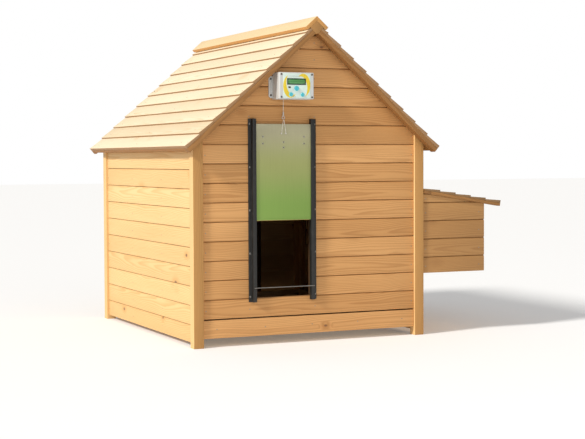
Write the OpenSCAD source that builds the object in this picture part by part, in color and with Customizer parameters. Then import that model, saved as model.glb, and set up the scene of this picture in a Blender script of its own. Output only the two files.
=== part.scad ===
// Small wooden hen house: board walls between corner posts, a steep lapped roof, a
// side nest box with a hinged lid, a pull-out dropping tray, a rear service door and
// a motor-driven pop door that a cord lifts between two rails.
// Millimetres. +X to the nest box, +Y to the rear, +Z up, feet at Z = 0.

/* [House] */
// Width of the house across the front posts
house_w = 860; // [700:10:1200]
// Depth of the house over the posts
house_d = 1000; // [800:10:1400]
// Height of the roof boards' underside at the outer face of the side posts
eave_h = 684; // [680:2:900]
// Slope of the roof in degrees
roof_pitch = 41.4; // [41:0.2:50]
// Side of the square corner posts
post = 35; // [28:1:45]
// Thickness of the wall boards
board_t = 12; // [9:0.5:16]
// Height that each wall board shows
board_pitch = 64; // [53:1:77]
// Distance that the wall boards sit behind the post faces
recess = 8; // [5:0.5:12]
// Side of the battens and studs behind the boards
stud = 20; // [16:1:26]

/* [Roof] */
// How far the eaves reach past the side posts
eave_over = 42; // [30:1:60]
// How far the roof reaches past the front and rear posts
gable_over = 40; // [30:1:60]
// Thickness of a roof board at its lower edge
roof_board_t = 12; // [9:0.5:16]
// Length of each roof board that shows down the slope
roof_exposure = 63.5; // [50:0.5:80]
// Thickness of the battens under the roof boards
roof_batten_t = 16; // [12:1:22]
// Width of the two ridge cap boards
cap_w = 45; // [38:1:60]

/* [Pop door] */
// Distance from the left post face to the pop hole
hole_left = 221; // [150:0.5:300]
// Clear width of the pop hole
hole_w = 200; // [160:1:240]
// Height wanted for the pop hole, rounded to whole boards
hole_h_wanted = 256; // [190:1:300]
// Thickness of the sliding panel
panel_t = 2; // [1.5:0.1:3]
// Depth of the rails off the boards
rail_depth = 16; // [14:0.5:22]
// Width of each rail over its flange
rail_w = 24; // [20:0.5:30]
// Radius on which the lifting cord winds
drum_r = 8; // [6:0.5:10]
// Diameter of the lifting cord
cord_d = 1.8; // [1.2:0.1:2.4]

/* [Control case] */
// Width of the control case
case_w = 125; // [115:1:140]
// Height of the control case
case_h = 88; // [84:1:94]
// Depth of the control case off the boards
case_depth = 60; // [56:1:72]
// Wall of the control case
case_wall = 3; // [2:0.5:4]
// Diameter of the large button
main_button_d = 15; // [12:0.5:16]
// Diameter of the two small buttons
small_button_d = 12; // [9:0.5:13]
// Travel of each button
button_travel = 1.2; // [0.8:0.1:1.3]

/* [Nest box] */
// Width of the nest box out from the side posts
nest_w = 253; // [220:1:320]
// Height of the nest box's underside
nest_base = 216.5; // [180:0.5:240]
// Height of the lid's underside at the house
lid_z = 498; // [470:1:520]
// Slope of the lid in degrees
lid_pitch = 9.14; // [6:0.02:12]
// Overhang of the lid past the nest box's outer wall
lid_over = 63; // [40:1:80]
// Number of nests
nests = 3; // [2:1:4]

/* [Rear door] */
// Width of the rear door's opening
rear_w = 420; // [300:10:460]
// Diameter of the bolt
bolt_d = 8; // [6:0.5:10]
// Travel of the bolt
bolt_travel = 26; // [20:1:28]

/* [Inside] */
// Diameter of the perches
perch_d = 34; // [28:1:45]
// Height of the perches' underside
perch_z = 480; // [400:5:520]
// Height of the tray's side walls
tray_wall_h = 45; // [30:1:50]

/* [Hidden] */
$fn = 48;

gap = 0.3;                    // between pieces that lie against each other
near = 0.1;                   // between thin metal pieces and what they lie on
cx = house_w / 2;

// Wall boards: a bevel along the upper outer edge
bevel_d = 4;
bevel_h = 5.7;
front_base = 94;
tray_z = 30;
side_base = 16;
side_first = 59;
inner = recess + board_t + gap;     // from a post face to the back of the boards

// Roof, measured across from the ridge
tan_p = tan(roof_pitch);
cos_p = cos(roof_pitch);
sin_p = sin(roof_pitch);
peak_z = eave_h + cx * tan_p + roof_board_t / cos_p;
roof_thin = 7;
beam_half = 24;
beam_s = beam_half / cos_p;
eave_s = (cx + eave_over) / cos_p;
batten_w = 30;
eave_strip_t = 10;             // strip under the lowest roof boards
function under_z(u) = peak_z - roof_board_t / cos_p - u * tan_p;
function batten_z(u) = under_z(u) - roof_batten_t / cos_p;
beam_bottom = peak_z - beam_half * tan_p - (roof_board_t + roof_batten_t) * cos_p;
gable_top = beam_bottom - gap;
side_top = under_z(cx - recess) - 2 * gap;
plate_top = batten_z(cx - inner) - gap;
plate_h = 30;
roof_y0 = -gable_over;
roof_y1 = house_d + gable_over;

// Rows of boards: the last one is cut to the space that is left
function row_count(base, top) = round((top - base) / board_pitch);
function row_z(base, k) = base + k * board_pitch;
function row_top(base, top, k) =
  k == row_count(base, top) - 1 ? top : row_z(base, k + 1);

// Pop hole, rails and panel
hole_rows = round(hole_h_wanted / board_pitch);
hole_right = hole_left + hole_w;
hole_cx = hole_left + hole_w / 2;
sill_z = row_z(front_base, 1);
hole_top = row_z(front_base, 1 + hole_rows);
panel_open_z = hole_top + 2;
panel_h = (hole_top - sill_z) + 64;
panel_drop = panel_open_z - sill_z + 8;
rail_z0 = sill_z - 13.5;
rail_z1 = panel_open_z + panel_h + 17.5;
rail_flange = 11;
rail_flange_t = 3;
slot_play = 0.8;                // each side of the panel's thickness
slot_depth = 10.5;
hole_lap = 10;                // how far each rail reaches over the hole in the boards
panel_grip = 9.5;              // panel edge held in each slot
panel_y = recess - 11;        // middle of the panel's thickness
screw_count = 5;
rail_screw_len = 14.5;
tie_rod_z = sill_z + 34;
tie_rod_r = 1.5;
clip_z = panel_open_z + panel_h + 26;
cord_r = cord_d / 2;

// Control case: x from its left side, z from its bottom, out from the boards
case_x0 = hole_cx - 35;
case_z0 = rail_z1 + 64;
base_depth = 38;
ear_w = 14;
ear_t = 4;
ear_z = [4.5, 77.5];
ear_screw_z = [14, 68];
lid_screws = [[7, 6.5], [case_w - 7, 6.5], [7, case_h - 6.5], [case_w - 7, case_h - 6.5]];
boss_r = 4.6;
screw_r = 1.9;
head_r = 3.4;
head_t = 1.4;
label_t = 0.6;
label_x = [12.5, case_w - 12.5];
label_z = [3.5, case_h - 3.5];
window_x = [31, 92];
window_z = [50.5, 64.5];
frame_b = 3.5;
sensor_at = [36, 38.5];
sensor_size = [8, 5];
main_at = [61.6, 35.1];
left_at = [41.7, 15.2];
right_at = [83.3, 14.5];
button_out = 4;
button_play = 0.3;
collar = 1.2;
collar_t = 2;
board_out = case_depth - case_wall - 7.6;   // front of the circuit board
board_thick = 1.6;
button_back = case_depth - case_wall - near - collar_t;
switch_t = button_back - button_travel - gap - board_out;
cord_out = recess - panel_y;                // cord line, out from the boards
drum_at = [hole_cx + drum_r - case_x0, 46];
drum_half = 6;
flange_r = drum_r + 4;
shaft_r = 2;
shaft_play = 0.06;
turns = 4;
drum_z = case_z0 + drum_at[1];
cord_top = drum_z - drum_r * 0.75;

// Nest box
nest_x1 = house_w + nest_w;
nest_y = [6, house_d - 6];
nest_first = 57;
floor_t = 12;
cell_y0 = nest_y[0] + board_t;
cell_w = (nest_y[1] - nest_y[0] - board_t * (nests + 1)) / nests;
entry_margin = 42;
lid_batten_t = 11;
lid_thin = 5;
lid_thick = 10;
lid_t = lid_batten_t + lid_thick;
lid_gap = 2.5;
lid_s = (nest_w + lid_over) / cos(lid_pitch);
lid_rows = round(lid_s / board_pitch);
lid_exposure = (lid_s - lid_gap) / lid_rows;
function cell(k) = cell_y0 + k * (cell_w + board_t);
function lid_under(x) = lid_z - (x - house_w) * tan(lid_pitch);
function lid_point(s, n) = [house_w + s * cos(lid_pitch) + n * sin(lid_pitch),
  lid_z - s * sin(lid_pitch) + n * cos(lid_pitch)];
function entry_row(z0, z1) = z0 >= nest_base + floor_t + 20 && z1 <= lid_z - 30;
divider_y = [for (k = [1:nests - 1]) cell(k) - board_t / 2];

// Hinges
knuckle_r = 4;
leaf_w = 32;
leaf_t = 1.6;
pin_r = 1.5;
pin_play = 0.06;
hinge_len = 60;
hinge_inset = 150;
hinge_screws_at = [[15, 12], [24, 30], [15, 48]];
lid_top0 = lid_point(lid_gap, lid_batten_t + lid_thin);
lid_top1 = lid_point(lid_gap + lid_exposure, lid_t);
leaf_slope = atan2(lid_top0[1] - lid_top1[1], lid_top1[0] - lid_top0[0]);
lid_pin_x = house_w - recess + knuckle_r + near;
lid_pin_z = lid_top0[1] + (lid_top0[0] - lid_pin_x) * tan(leaf_slope)
  + (knuckle_r + near) / cos(leaf_slope);
lid_hinge_y = [hinge_inset, house_d - hinge_inset - hinge_len];

// Rear door
rear_x0 = cx - rear_w / 2;
rear_x1 = cx + rear_w / 2;
rear_rows = 7;
rear_play = 1.5;
rear_z0 = row_z(front_base, 1);
rear_z1 = row_z(front_base, 1 + rear_rows);
rear_face = house_d - recess;
rear_pin = [rear_x0, rear_face + knuckle_r + near];
rear_hinge_z = [rear_z0 + 50, rear_z1 - 50 - hinge_len];
stop_lap = 10;
door_edge = rear_x1 - rear_play;
bolt_z = (rear_z0 + rear_z1) / 2;
bolt_r = bolt_d / 2;
bolt_play = 0.3;
guide_w = 8;
guide_wall = 3;
bolt_y = rear_face + near + leaf_t + guide_wall + bolt_r;
bolt_len = 82;
knob_r = 3;

// Tray
tray_play = 0.8;
ply = 6;
tray_side = max(inner + stud, post) + 1.5;
tray_x = [tray_side, house_w - tray_side];
tray_y1 = house_d - inner - stud - 10;
runner_y0 = 160;

// Origin: middle of the whole box, on the ground
x_min = -eave_over;
x_max = lid_point(lid_s, lid_t)[0];
y_min = recess - case_depth - button_out;
y_max = roof_y1;
shift = [-(x_min + x_max) / 2, -(y_min + y_max) / 2, 0];

// Helpers ------------------------------------------------------------------

// An outline of (x, z) points pushed along Y, and one of (y, z) points along X
module along_y(y0, y1) {
  translate([0, y1, 0]) rotate([90, 0, 0]) linear_extrude(y1 - y0) children();
}
module along_x(x0, x1) {
  translate([x0, 0, 0]) rotate([90, 0, 90]) linear_extrude(x1 - x0) children();
}
module box(a, b) {
  translate(a) cube([b[0] - a[0], b[1] - a[1], b[2] - a[2]]);
}
module twin() {
  children();
  translate([house_w, 0, 0]) mirror([1, 0, 0]) children();
}
module on_slope(left) {
  translate([cx, 0, peak_z]) mirror([left ? 1 : 0, 0, 0]) rotate([0, roof_pitch, 0]) children();
}
module under_roof() {
  flat_u = (peak_z - roof_board_t / cos_p - gable_top) / tan_p;
  side_u = cx + post;
  drop = gap / cos_p;
  along_y(-post, house_d + post)
    polygon([[cx - side_u, -1], [cx + side_u, -1], [cx + side_u, under_z(side_u) - drop],
      [cx + flat_u, gable_top - drop], [cx - flat_u, gable_top - drop],
      [cx - side_u, under_z(side_u) - drop]]);
}
module board_section(z0, z1) {
  polygon([[0, z0], [board_t, z0], [board_t, z1 - gap], [bevel_d, z1 - gap],
    [0, z1 - gap - bevel_h]]);
}
module rod(p, q, r) {
  d = q - p;
  translate(p) rotate([0, acos(d[2] / norm(d)), atan2(d[1], d[0])]) cylinder(h = norm(d), r = r);
}
module out_cylinder(at, from, to, r) {
  translate([at[0], -from, at[1]]) rotate([90, 0, 0]) cylinder(h = to - from, r = r);
}
module at_case() {
  translate([case_x0, recess, case_z0]) children();
}
module case_box(x, out, z) {
  box([x[0], -out[1], z[0]], [x[1], -out[0], z[1]]);
}

// Walls --------------------------------------------------------------------

module corner_posts() {
  color("burlywood") translate(shift) intersection() {
    for (x = [0, house_w - post], y = [0, house_d - post])
      box([x, y, 0], [x + post, y + post, peak_z]);
    under_roof();
  }
}
function front_spans(k) = k >= 1 && k <= hole_rows
  ? [[post + gap, hole_left - hole_lap], [hole_right + hole_lap, house_w - post - gap]]
  : [[post + gap, house_w - post - gap]];
function rear_spans(k) = k >= 1 && k <= rear_rows
  ? [[post + gap, rear_x0], [rear_x1, house_w - post - gap]]
  : [[post + gap, house_w - post - gap]];
module gable_row(span, z0, z1) {
  if (z1 > under_z(cx - post) - 1)
    intersection() {
      along_x(span[0], span[1]) children();
      under_roof();
    }
  else
    along_x(span[0], span[1]) children();
}
module front_boards() {
  color("tan") translate(shift)
    for (k = [0:row_count(front_base, gable_top) - 1], span = front_spans(k))
      let (z0 = row_z(front_base, k), z1 = row_top(front_base, gable_top, k))
        gable_row(span, z0, z1) translate([recess, 0]) board_section(z0, z1);
}
module rear_boards() {
  color("tan") translate(shift) {
    for (k = [0:row_count(front_base, gable_top) - 1], span = rear_spans(k))
      let (z0 = row_z(front_base, k), z1 = row_top(front_base, gable_top, k))
        gable_row(span, z0, z1) translate([rear_face, 0]) mirror([1, 0]) board_section(z0, z1);
    along_x(post + gap, house_w - post - gap)
      translate([rear_face, 0]) mirror([1, 0]) board_section(tray_z, front_base);
  }
}
side_row_base = side_base + side_first;
full_side = [[post + gap, house_d - post - gap]];
function entry_spans() = [for (k = [0:nests])
  [k == 0 ? post + gap : cell(k - 1) + cell_w - entry_margin,
   k == nests ? house_d - post - gap : cell(k) + entry_margin]];
module side_rows(spans_at_nests) {
  for (y = full_side)
    along_y(y[0], y[1]) translate([recess, 0]) board_section(side_base, side_row_base);
  for (k = [0:row_count(side_row_base, side_top) - 1])
    let (z0 = row_z(side_row_base, k), z1 = row_top(side_row_base, side_top, k))
      for (y = entry_row(z0, z1) ? spans_at_nests : full_side)
        along_y(y[0], y[1]) translate([recess, 0]) board_section(z0, z1);
}
module left_boards() {
  color("wheat") translate(shift) side_rows(full_side);
}
module right_boards() {
  color("wheat") translate(shift) translate([house_w, 0, 0]) mirror([1, 0, 0])
    side_rows(entry_spans());
}

// Frame --------------------------------------------------------------------

function stud_top(x0, x1) = batten_z(max(abs(x0 - cx), abs(x1 - cx))) - 1;
side_stud_top = plate_top - plate_h - gap;
module corner_cleats() {
  front_top = stud_top(post, post + stud);
  color("burlywood") translate(shift) twin() {
    box([post + gap, inner, front_base], [post + stud, post, front_top]);
    box([post + gap, house_d - post, tray_z], [post + stud, house_d - inner, front_top]);
    for (y = [post + gap, house_d - post - stud])
      box([inner, y, tray_z], [post, y + stud - gap, side_stud_top]);
  }
}
module door_studs() {
  color("burlywood") translate(shift) {
    for (x = [hole_left - hole_lap - stud, hole_right + hole_lap])
      box([x, inner, front_base],
        [x + stud, inner + stud, min(stud_top(x, x + stud), gable_top - 10)]);
    for (x = [rear_x0 - stud, rear_x1 - stop_lap])
      box([x, house_d - inner - stud, tray_z],
        [x + stud, house_d - inner, stud_top(x, x + stud)]);
  }
}
module side_studs() {
  color("burlywood") translate(shift) twin()
    for (y = divider_y)
      box([inner, y - stud / 2, tray_z], [inner + stud, y + stud / 2, side_stud_top]);
}
module top_plates() {
  color("burlywood") translate(shift) twin()
    box([inner, post + gap, plate_top - plate_h],
      [inner + stud, house_d - post - gap, plate_top]);
}
module tray_runners() {
  color("burlywood") translate(shift) twin()
    box([inner, runner_y0, side_base], [inner + 2 * stud, house_d - post - gap, tray_z - gap]);
}

// Roof ---------------------------------------------------------------------

module ridge_beam() {
  side = [beam_half, peak_z - beam_half * tan_p];
  foot_x = beam_half - (roof_board_t + roof_batten_t) * sin_p;
  color("burlywood") translate(shift) along_y(roof_y0, roof_y1)
    polygon([[cx, peak_z], [cx + side[0], side[1]], [cx + foot_x, beam_bottom],
      [cx - foot_x, beam_bottom], [cx - side[0], side[1]]]);
}
module slope_batten(y, end_s) {
  box([beam_s + gap, y, -roof_board_t - roof_batten_t],
    [end_s, y + batten_w, -roof_board_t - gap]);
}
// Distance down the slope at which a batten reaches this far from the ridge
function batten_end(u) = (u + roof_board_t * sin_p) / cos_p - 1;
module roof_battens() {
  color("burlywood") translate(shift) for (left = [false, true]) on_slope(left) {
    for (y = [roof_y0, roof_y1 - batten_w]) slope_batten(y, eave_s);
    for (y = [inner, house_d - inner - batten_w]) slope_batten(y, batten_end(cx - post));
    slope_batten((house_d - batten_w) / 2, batten_end(cx - inner));
    box([eave_s - batten_w, roof_y0 + batten_w + gap, -roof_board_t - eave_strip_t],
      [eave_s, roof_y1 - batten_w - gap, -roof_board_t - gap]);
  }
}
module roof_side(left) {
  rows = round((eave_s - beam_s) / roof_exposure + 0.2);
  on_slope(left) along_y(roof_y0, roof_y1)
    for (k = [0:rows - 1])
      let (s1 = eave_s - k * roof_exposure, s0 = k == rows - 1 ? beam_s + gap
        : s1 - roof_exposure + gap)
        polygon([[s0, -roof_board_t], [s1, -roof_board_t], [s1, 0], [s0, roof_thin - roof_board_t]]);
}
module roof_boards_left() {
  color("cornsilk") translate(shift) roof_side(true);
}
module roof_boards_right() {
  color("cornsilk") translate(shift) roof_side(false);
}
module ridge_caps() {
  foot = [cap_w * cos_p, -cap_w * sin_p];
  color("cornsilk") translate(shift) translate([cx, 0, peak_z]) for (left = [0, 1])
    mirror([left, 0, 0]) along_y(roof_y0, roof_y1)
      polygon([[gap / 2, gap], foot + [0, gap], foot + roof_board_t * [sin_p, cos_p],
        [gap / 2, roof_board_t / cos_p]]);
}

// Inside -------------------------------------------------------------------

perch_play = 0.3;
module perch_brackets() {
  block = [stud, perch_d + 16, 40];
  x0 = inner + stud + gap;
  color("peru") translate(shift) twin()
    for (y = divider_y)
      difference() {
        translate([x0, y - block[1] / 2, perch_z - 20]) cube(block);
        translate([x0 - 1, y, perch_z + perch_d / 2]) rotate([0, 90, 0])
          cylinder(h = stud + 2, r = perch_d / 2 + perch_play);
      }
}
module perches() {
  x0 = inner + stud + 2 * gap;
  color("peru") translate(shift) for (y = divider_y)
    translate([x0, y, perch_z + perch_d / 2]) rotate([0, 90, 0])
      cylinder(h = house_w - 2 * x0, r = perch_d / 2);
}
module tray_front() {
  color("tan") translate(shift)
    box([post + tray_play, recess, tray_z],
      [house_w - post - tray_play, recess + board_t, front_base - 4.5]);
}
module tray_pan() {
  y0 = recess + board_t + gap;
  z0 = tray_z + gap;
  z1 = z0 + ply + gap;
  color("wheat") translate(shift) {
    box([tray_x[0], y0, z0], [tray_x[1], tray_y1, z0 + ply]);
    for (x = [tray_x[0], tray_x[1] - ply])
      box([x, y0, z1], [x + ply, tray_y1, z1 + tray_wall_h]);
    for (y = [y0, tray_y1 - ply])
      box([tray_x[0] + ply + gap, y, z1], [tray_x[1] - ply - gap, y + ply, z1 + tray_wall_h]);
  }
}

// Pop door -----------------------------------------------------------------

rail_screw_z = [for (k = [0:screw_count - 1])
  rail_z0 + 18 + k * (rail_z1 - rail_z0 - 35) / (screw_count - 1)];
module door_twin() {
  children();
  translate([2 * hole_cx, 0, 0]) mirror([1, 0, 0]) children();
}
module door_rails() {
  x0 = hole_left - rail_w;
  slot_half = panel_t / 2 + slot_play;
  color([0.16, 0.16, 0.16]) translate(shift) door_twin() difference() {
    union() {
      box([x0, recess - rail_flange_t, rail_z0], [x0 + rail_flange + 1, recess, rail_z1]);
      box([x0 + rail_flange, recess - rail_depth, rail_z0], [hole_left, recess, rail_z1]);
    }
    box([hole_left - slot_depth, panel_y - slot_half, rail_z0 - 1],
      [hole_left + 1, panel_y + slot_half, rail_z1 + 1]);
    for (z = rail_screw_z)
      translate([x0 + rail_flange / 2, recess + 1, z]) rotate([90, 0, 0])
        cylinder(h = rail_flange_t + 2, r = screw_r + 0.2);
  }
}
module rail_screws() {
  color("silver") translate(shift) door_twin() for (z = rail_screw_z)
    translate([hole_left - rail_w + rail_flange / 2, recess - rail_flange_t, z])
      rotate([90, 0, 0]) {
        translate([0, 0, near]) cylinder(h = head_t, r = head_r);
        translate([0, 0, -rail_screw_len]) cylinder(h = rail_screw_len + near, r = screw_r);
      }
}
module rail_tie_rod() {
  over = 10;
  color("dimgray") translate(shift)
    translate([hole_left - over, recess - rail_depth - tie_rod_r - near, tie_rod_z])
      rotate([0, 90, 0]) cylinder(h = hole_w + 2 * over, r = tie_rod_r);
}
eyelets = [[-75, 42], [75, 42], [-75, 65], [75, 65], [-8, 31.5], [8, 31.5], [0, 60], [0, 78]];
module door_panel() {
  top = panel_open_z + panel_h;
  half = hole_w / 2 + panel_grip;
  hem_half = hole_w / 2 - 2;
  color([0.6, 0.68, 0.45]) translate(shift) difference() {
    union() {
      box([hole_cx - half, panel_y - panel_t / 2, panel_open_z],
        [hole_cx + half, panel_y + panel_t / 2, top]);
      box([hole_cx - hem_half, panel_y - panel_t / 2 - 2, panel_open_z],
        [hole_cx + hem_half, panel_y, panel_open_z + 4]);
    }
    for (e = eyelets)
      translate([hole_cx + e[0], panel_y + 5, top - e[1]]) rotate([90, 0, 0])
        cylinder(h = 10, r = 2);
  }
}
module panel_cords() {
  top = panel_open_z + panel_h;
  front = panel_y - panel_t / 2;
  color("whitesmoke") translate(shift) for (side = [-1, 1]) {
    rod([hole_cx + side * 1.2, front - cord_r - 0.5, clip_z - 11.5],
      [hole_cx + side * 8, front - cord_r - 0.5, top - 31.5], cord_r * 0.9);
    translate([hole_cx + side * 8, front - 2 - near, top - 31.5]) sphere(r = 2);
  }
}
module cord_clip() {
  ring_r = 4.5;
  wire_r = 1.2;
  color("silver") translate(shift) translate([hole_cx, panel_y, clip_z]) {
    cylinder(h = 14, r = 2.5);
    translate([0, 0, -ring_r]) rotate([90, 0, 0])
      rotate_extrude() translate([ring_r, 0]) circle(r = wire_r);
  }
}
module lift_cord() {
  z0 = clip_z + 14 + near;
  color("whitesmoke") translate(shift)
    translate([hole_cx, panel_y, z0]) cylinder(h = cord_top - z0, r = cord_r);
}

// Control case -------------------------------------------------------------

module ear(mirrored) {
  x = mirrored ? case_w : 0;
  dir = mirrored ? 1 : -1;
  difference() {
    translate([0, 0, 0]) rotate([90, 0, 0]) linear_extrude(ear_t)
      polygon([[x - dir, ear_z[0]], [x + dir * (ear_w - 6), ear_z[0]],
        [x + dir * ear_w, ear_z[0] + 6], [x + dir * ear_w, ear_z[1] - 6],
        [x + dir * (ear_w - 6), ear_z[1]], [x - dir, ear_z[1]]]);
    for (z = ear_screw_z)
      out_cylinder([x + dir * ear_w / 2, z], -1, ear_t + 1, screw_r + 0.2);
  }
}
module case_base() {
  w = case_wall;
  color([0.72, 0.74, 0.73]) translate(shift) at_case() {
    difference() {
      union() {
        difference() {
          case_box([0, case_w], [0, base_depth], [0, case_h]);
          case_box([w, case_w - w], [w, base_depth + 1], [w, case_h - w]);
        }
        for (p = lid_screws) out_cylinder(p, w - 1, base_depth, boss_r);
      }
      for (p = lid_screws) out_cylinder(p, 12, base_depth + 1, screw_r + 0.2);
      translate([hole_cx - case_x0, -cord_out, -1]) cylinder(h = w + 2, r = cord_r + 1.6);
    }
    ear(false);
    ear(true);
  }
}
module case_lid() {
  w = case_wall;
  color([0.72, 0.74, 0.73]) translate(shift) at_case() difference() {
    union() {
      difference() {
        case_box([0, case_w], [base_depth + gap, case_depth], [0, case_h]);
        case_box([w, case_w - w], [base_depth, case_depth - w], [w, case_h - w]);
      }
      for (p = lid_screws) out_cylinder(p, base_depth + gap, case_depth - w + 1, boss_r);
      for (x = [24, case_w - 24], z = [10, case_h - 10])
        out_cylinder([x, z], board_out + near, case_depth - w + 1, 2.5);
    }
    for (p = lid_screws) out_cylinder(p, base_depth - 1, case_depth + 1, screw_r + 0.2);
    case_box(window_x, [case_depth - w - 1, case_depth + 1], window_z);
    out_cylinder(main_at, case_depth - w - 1, case_depth + 1, main_button_d / 2 + button_play);
    for (p = [left_at, right_at])
      out_cylinder(p, case_depth - w - 1, case_depth + 1, small_button_d / 2 + button_play);
  }
}
module case_screws() {
  color("silver") translate(shift) at_case() {
    for (p = lid_screws) {
      out_cylinder(p, case_depth + near, case_depth + near + head_t, head_r);
      out_cylinder(p, 14, case_depth + 2 * near, screw_r);
    }
    for (x = [-ear_w / 2, case_w + ear_w / 2], z = ear_screw_z) {
      out_cylinder([x, z], ear_t + near, ear_t + near + head_t, head_r);
      out_cylinder([x, z], -10, ear_t + 2 * near, screw_r);
    }
  }
}
module front_label() {
  color([0.84, 0.92, 0.9]) translate(shift) at_case() difference() {
    case_box(label_x, [case_depth, case_depth + label_t], label_z);
    case_box([window_x[0] - frame_b - gap, window_x[1] + frame_b + gap],
      [case_depth - 1, case_depth + 2],
      [window_z[0] - frame_b - gap, window_z[1] + frame_b + gap]);
    case_box([sensor_at[0] - sensor_size[0] / 2 - gap, sensor_at[0] + sensor_size[0] / 2 + gap],
      [case_depth - 1, case_depth + 2],
      [sensor_at[1] - sensor_size[1] / 2 - gap, sensor_at[1] + sensor_size[1] / 2 + gap]);
    out_cylinder(main_at, case_depth - 1, case_depth + 2, main_button_d / 2 + button_play);
    for (p = [left_at, right_at])
      out_cylinder(p, case_depth - 1, case_depth + 2, small_button_d / 2 + button_play);
  }
}
module display_frame() {
  color([0.1, 0.12, 0.12]) translate(shift) at_case() difference() {
    case_box([window_x[0] - frame_b, window_x[1] + frame_b], [case_depth, case_depth + 1],
      [window_z[0] - frame_b, window_z[1] + frame_b]);
    case_box(window_x, [case_depth - 1, case_depth + 2], window_z);
  }
}
module display_window() {
  color([0.12, 0.4, 0.22]) translate(shift) at_case()
    case_box([window_x[0] + near, window_x[1] - near], [board_out + near, case_depth + 0.4],
      [window_z[0] + near, window_z[1] - near]);
}
module light_sensor() {
  color([0.1, 0.1, 0.1]) translate(shift) at_case()
    case_box([sensor_at[0] - sensor_size[0] / 2, sensor_at[0] + sensor_size[0] / 2],
      [case_depth, case_depth + 1.2],
      [sensor_at[1] - sensor_size[1] / 2, sensor_at[1] + sensor_size[1] / 2]);
}
module push_button(at, r) {
  color([0.25, 0.78, 0.82]) translate(shift) at_case() {
    out_cylinder(at, button_back, case_depth + button_out, r);
    out_cylinder(at, button_back, button_back + collar_t, r + collar);
  }
}
module main_button() {
  push_button(main_at, main_button_d / 2);
}
module left_button() {
  push_button(left_at, small_button_d / 2);
}
module right_button() {
  push_button(right_at, small_button_d / 2);
}
module button_switches() {
  color([0.15, 0.15, 0.15]) translate(shift) at_case()
    for (p = [main_at, left_at, right_at])
      case_box([p[0] - 3, p[0] + 3], [board_out + near, board_out + switch_t], [p[1] - 3, p[1] + 3]);
}
module circuit_board() {
  color([0.1, 0.4, 0.2]) translate(shift) at_case()
    case_box([14, case_w - 14], [board_out - board_thick, board_out], [5, case_h - 5]);
}
module battery_pack() {
  cell_r = 7.2;
  x0 = 78;
  color([0.2, 0.2, 0.22]) translate(shift) at_case() {
    difference() {
      case_box([x0, x0 + 34], [case_wall + near, case_wall + 32], [12, 76]);
      case_box([x0 + 1.5, x0 + 32.5], [case_wall + 2, case_wall + 33], [15, 73]);
    }
    for (x = [x0 + 9, x0 + 25], out = [case_wall + 9.4, case_wall + 24.6])
      translate([x, -out, 18]) cylinder(h = 52, r = cell_r);
  }
}
gear_out = cord_out + drum_half + 1.5;
module gearmotor() {
  half = 10;
  motor_r = 8;
  bracket_x = drum_at[0] + flange_r + 0.5;
  color([0.7, 0.7, 0.7]) translate(shift) at_case() difference() {
    union() {
      case_box([drum_at[0] - half, bracket_x + 1], [gear_out, gear_out + 16],
        [drum_at[1] - half, drum_at[1] + half]);
      case_box([bracket_x, bracket_x + 3], [case_wall + near, gear_out + 16],
        [drum_at[1] - half, drum_at[1] + half]);
      out_cylinder(drum_at, gear_out + 15, gear_out + 25, motor_r);
    }
    out_cylinder(drum_at, gear_out - 1, gear_out + 8, shaft_r + shaft_play);
  }
}
module winch_drum() {
  color([0.85, 0.85, 0.8]) translate(shift) at_case() difference() {
    union() {
      out_cylinder(drum_at, cord_out - drum_half, cord_out + drum_half, drum_r - cord_r - near);
      out_cylinder(drum_at, cord_out - drum_half, cord_out - drum_half + 1.2, flange_r);
      out_cylinder(drum_at, cord_out + drum_half - 1.2, cord_out + drum_half, flange_r);
    }
    out_cylinder(drum_at, cord_out - drum_half - 1, cord_out + drum_half + 1, shaft_r);
  }
}
module winch_shaft() {
  color("silver") translate(shift) at_case()
    out_cylinder(drum_at, cord_out - drum_half, gear_out + 7, shaft_r);
}
module wound_cord() {
  step = cord_d + near;
  color("whitesmoke") translate(shift) at_case() for (k = [0:turns - 1])
    translate([drum_at[0], -cord_out + (k - (turns - 1) / 2) * step, drum_at[1]])
      rotate([90, 0, 0]) rotate_extrude() translate([drum_r, 0]) circle(r = cord_r, $fn = 16);
}

// Nest box -----------------------------------------------------------------

ledger_x = [house_w - recess + gap, house_w + 1];
module nest_ledgers() {
  color("burlywood") translate(shift) {
    box([ledger_x[0], post + gap, nest_base], [house_w - gap, house_d - post - gap, nest_base + 35]);
    box([ledger_x[0], post + gap, lid_z - 34], [ledger_x[1], house_d - post - gap, lid_z + 12]);
  }
}
module nest_floor() {
  color("tan") translate(shift)
    box([house_w + gap, cell_y0 + gap, nest_base],
      [nest_x1 - board_t - gap, nest_y[1] - board_t - gap, nest_base + floor_t]);
}
module under_lid() {
  along_y(-1, house_d + 1)
    polygon([[house_w - recess, 0], [nest_x1 + 1, 0], [nest_x1 + 1, lid_under(nest_x1 + 1) - gap],
      [house_w - recess, lid_under(house_w - recess) - gap]]);
}
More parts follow.
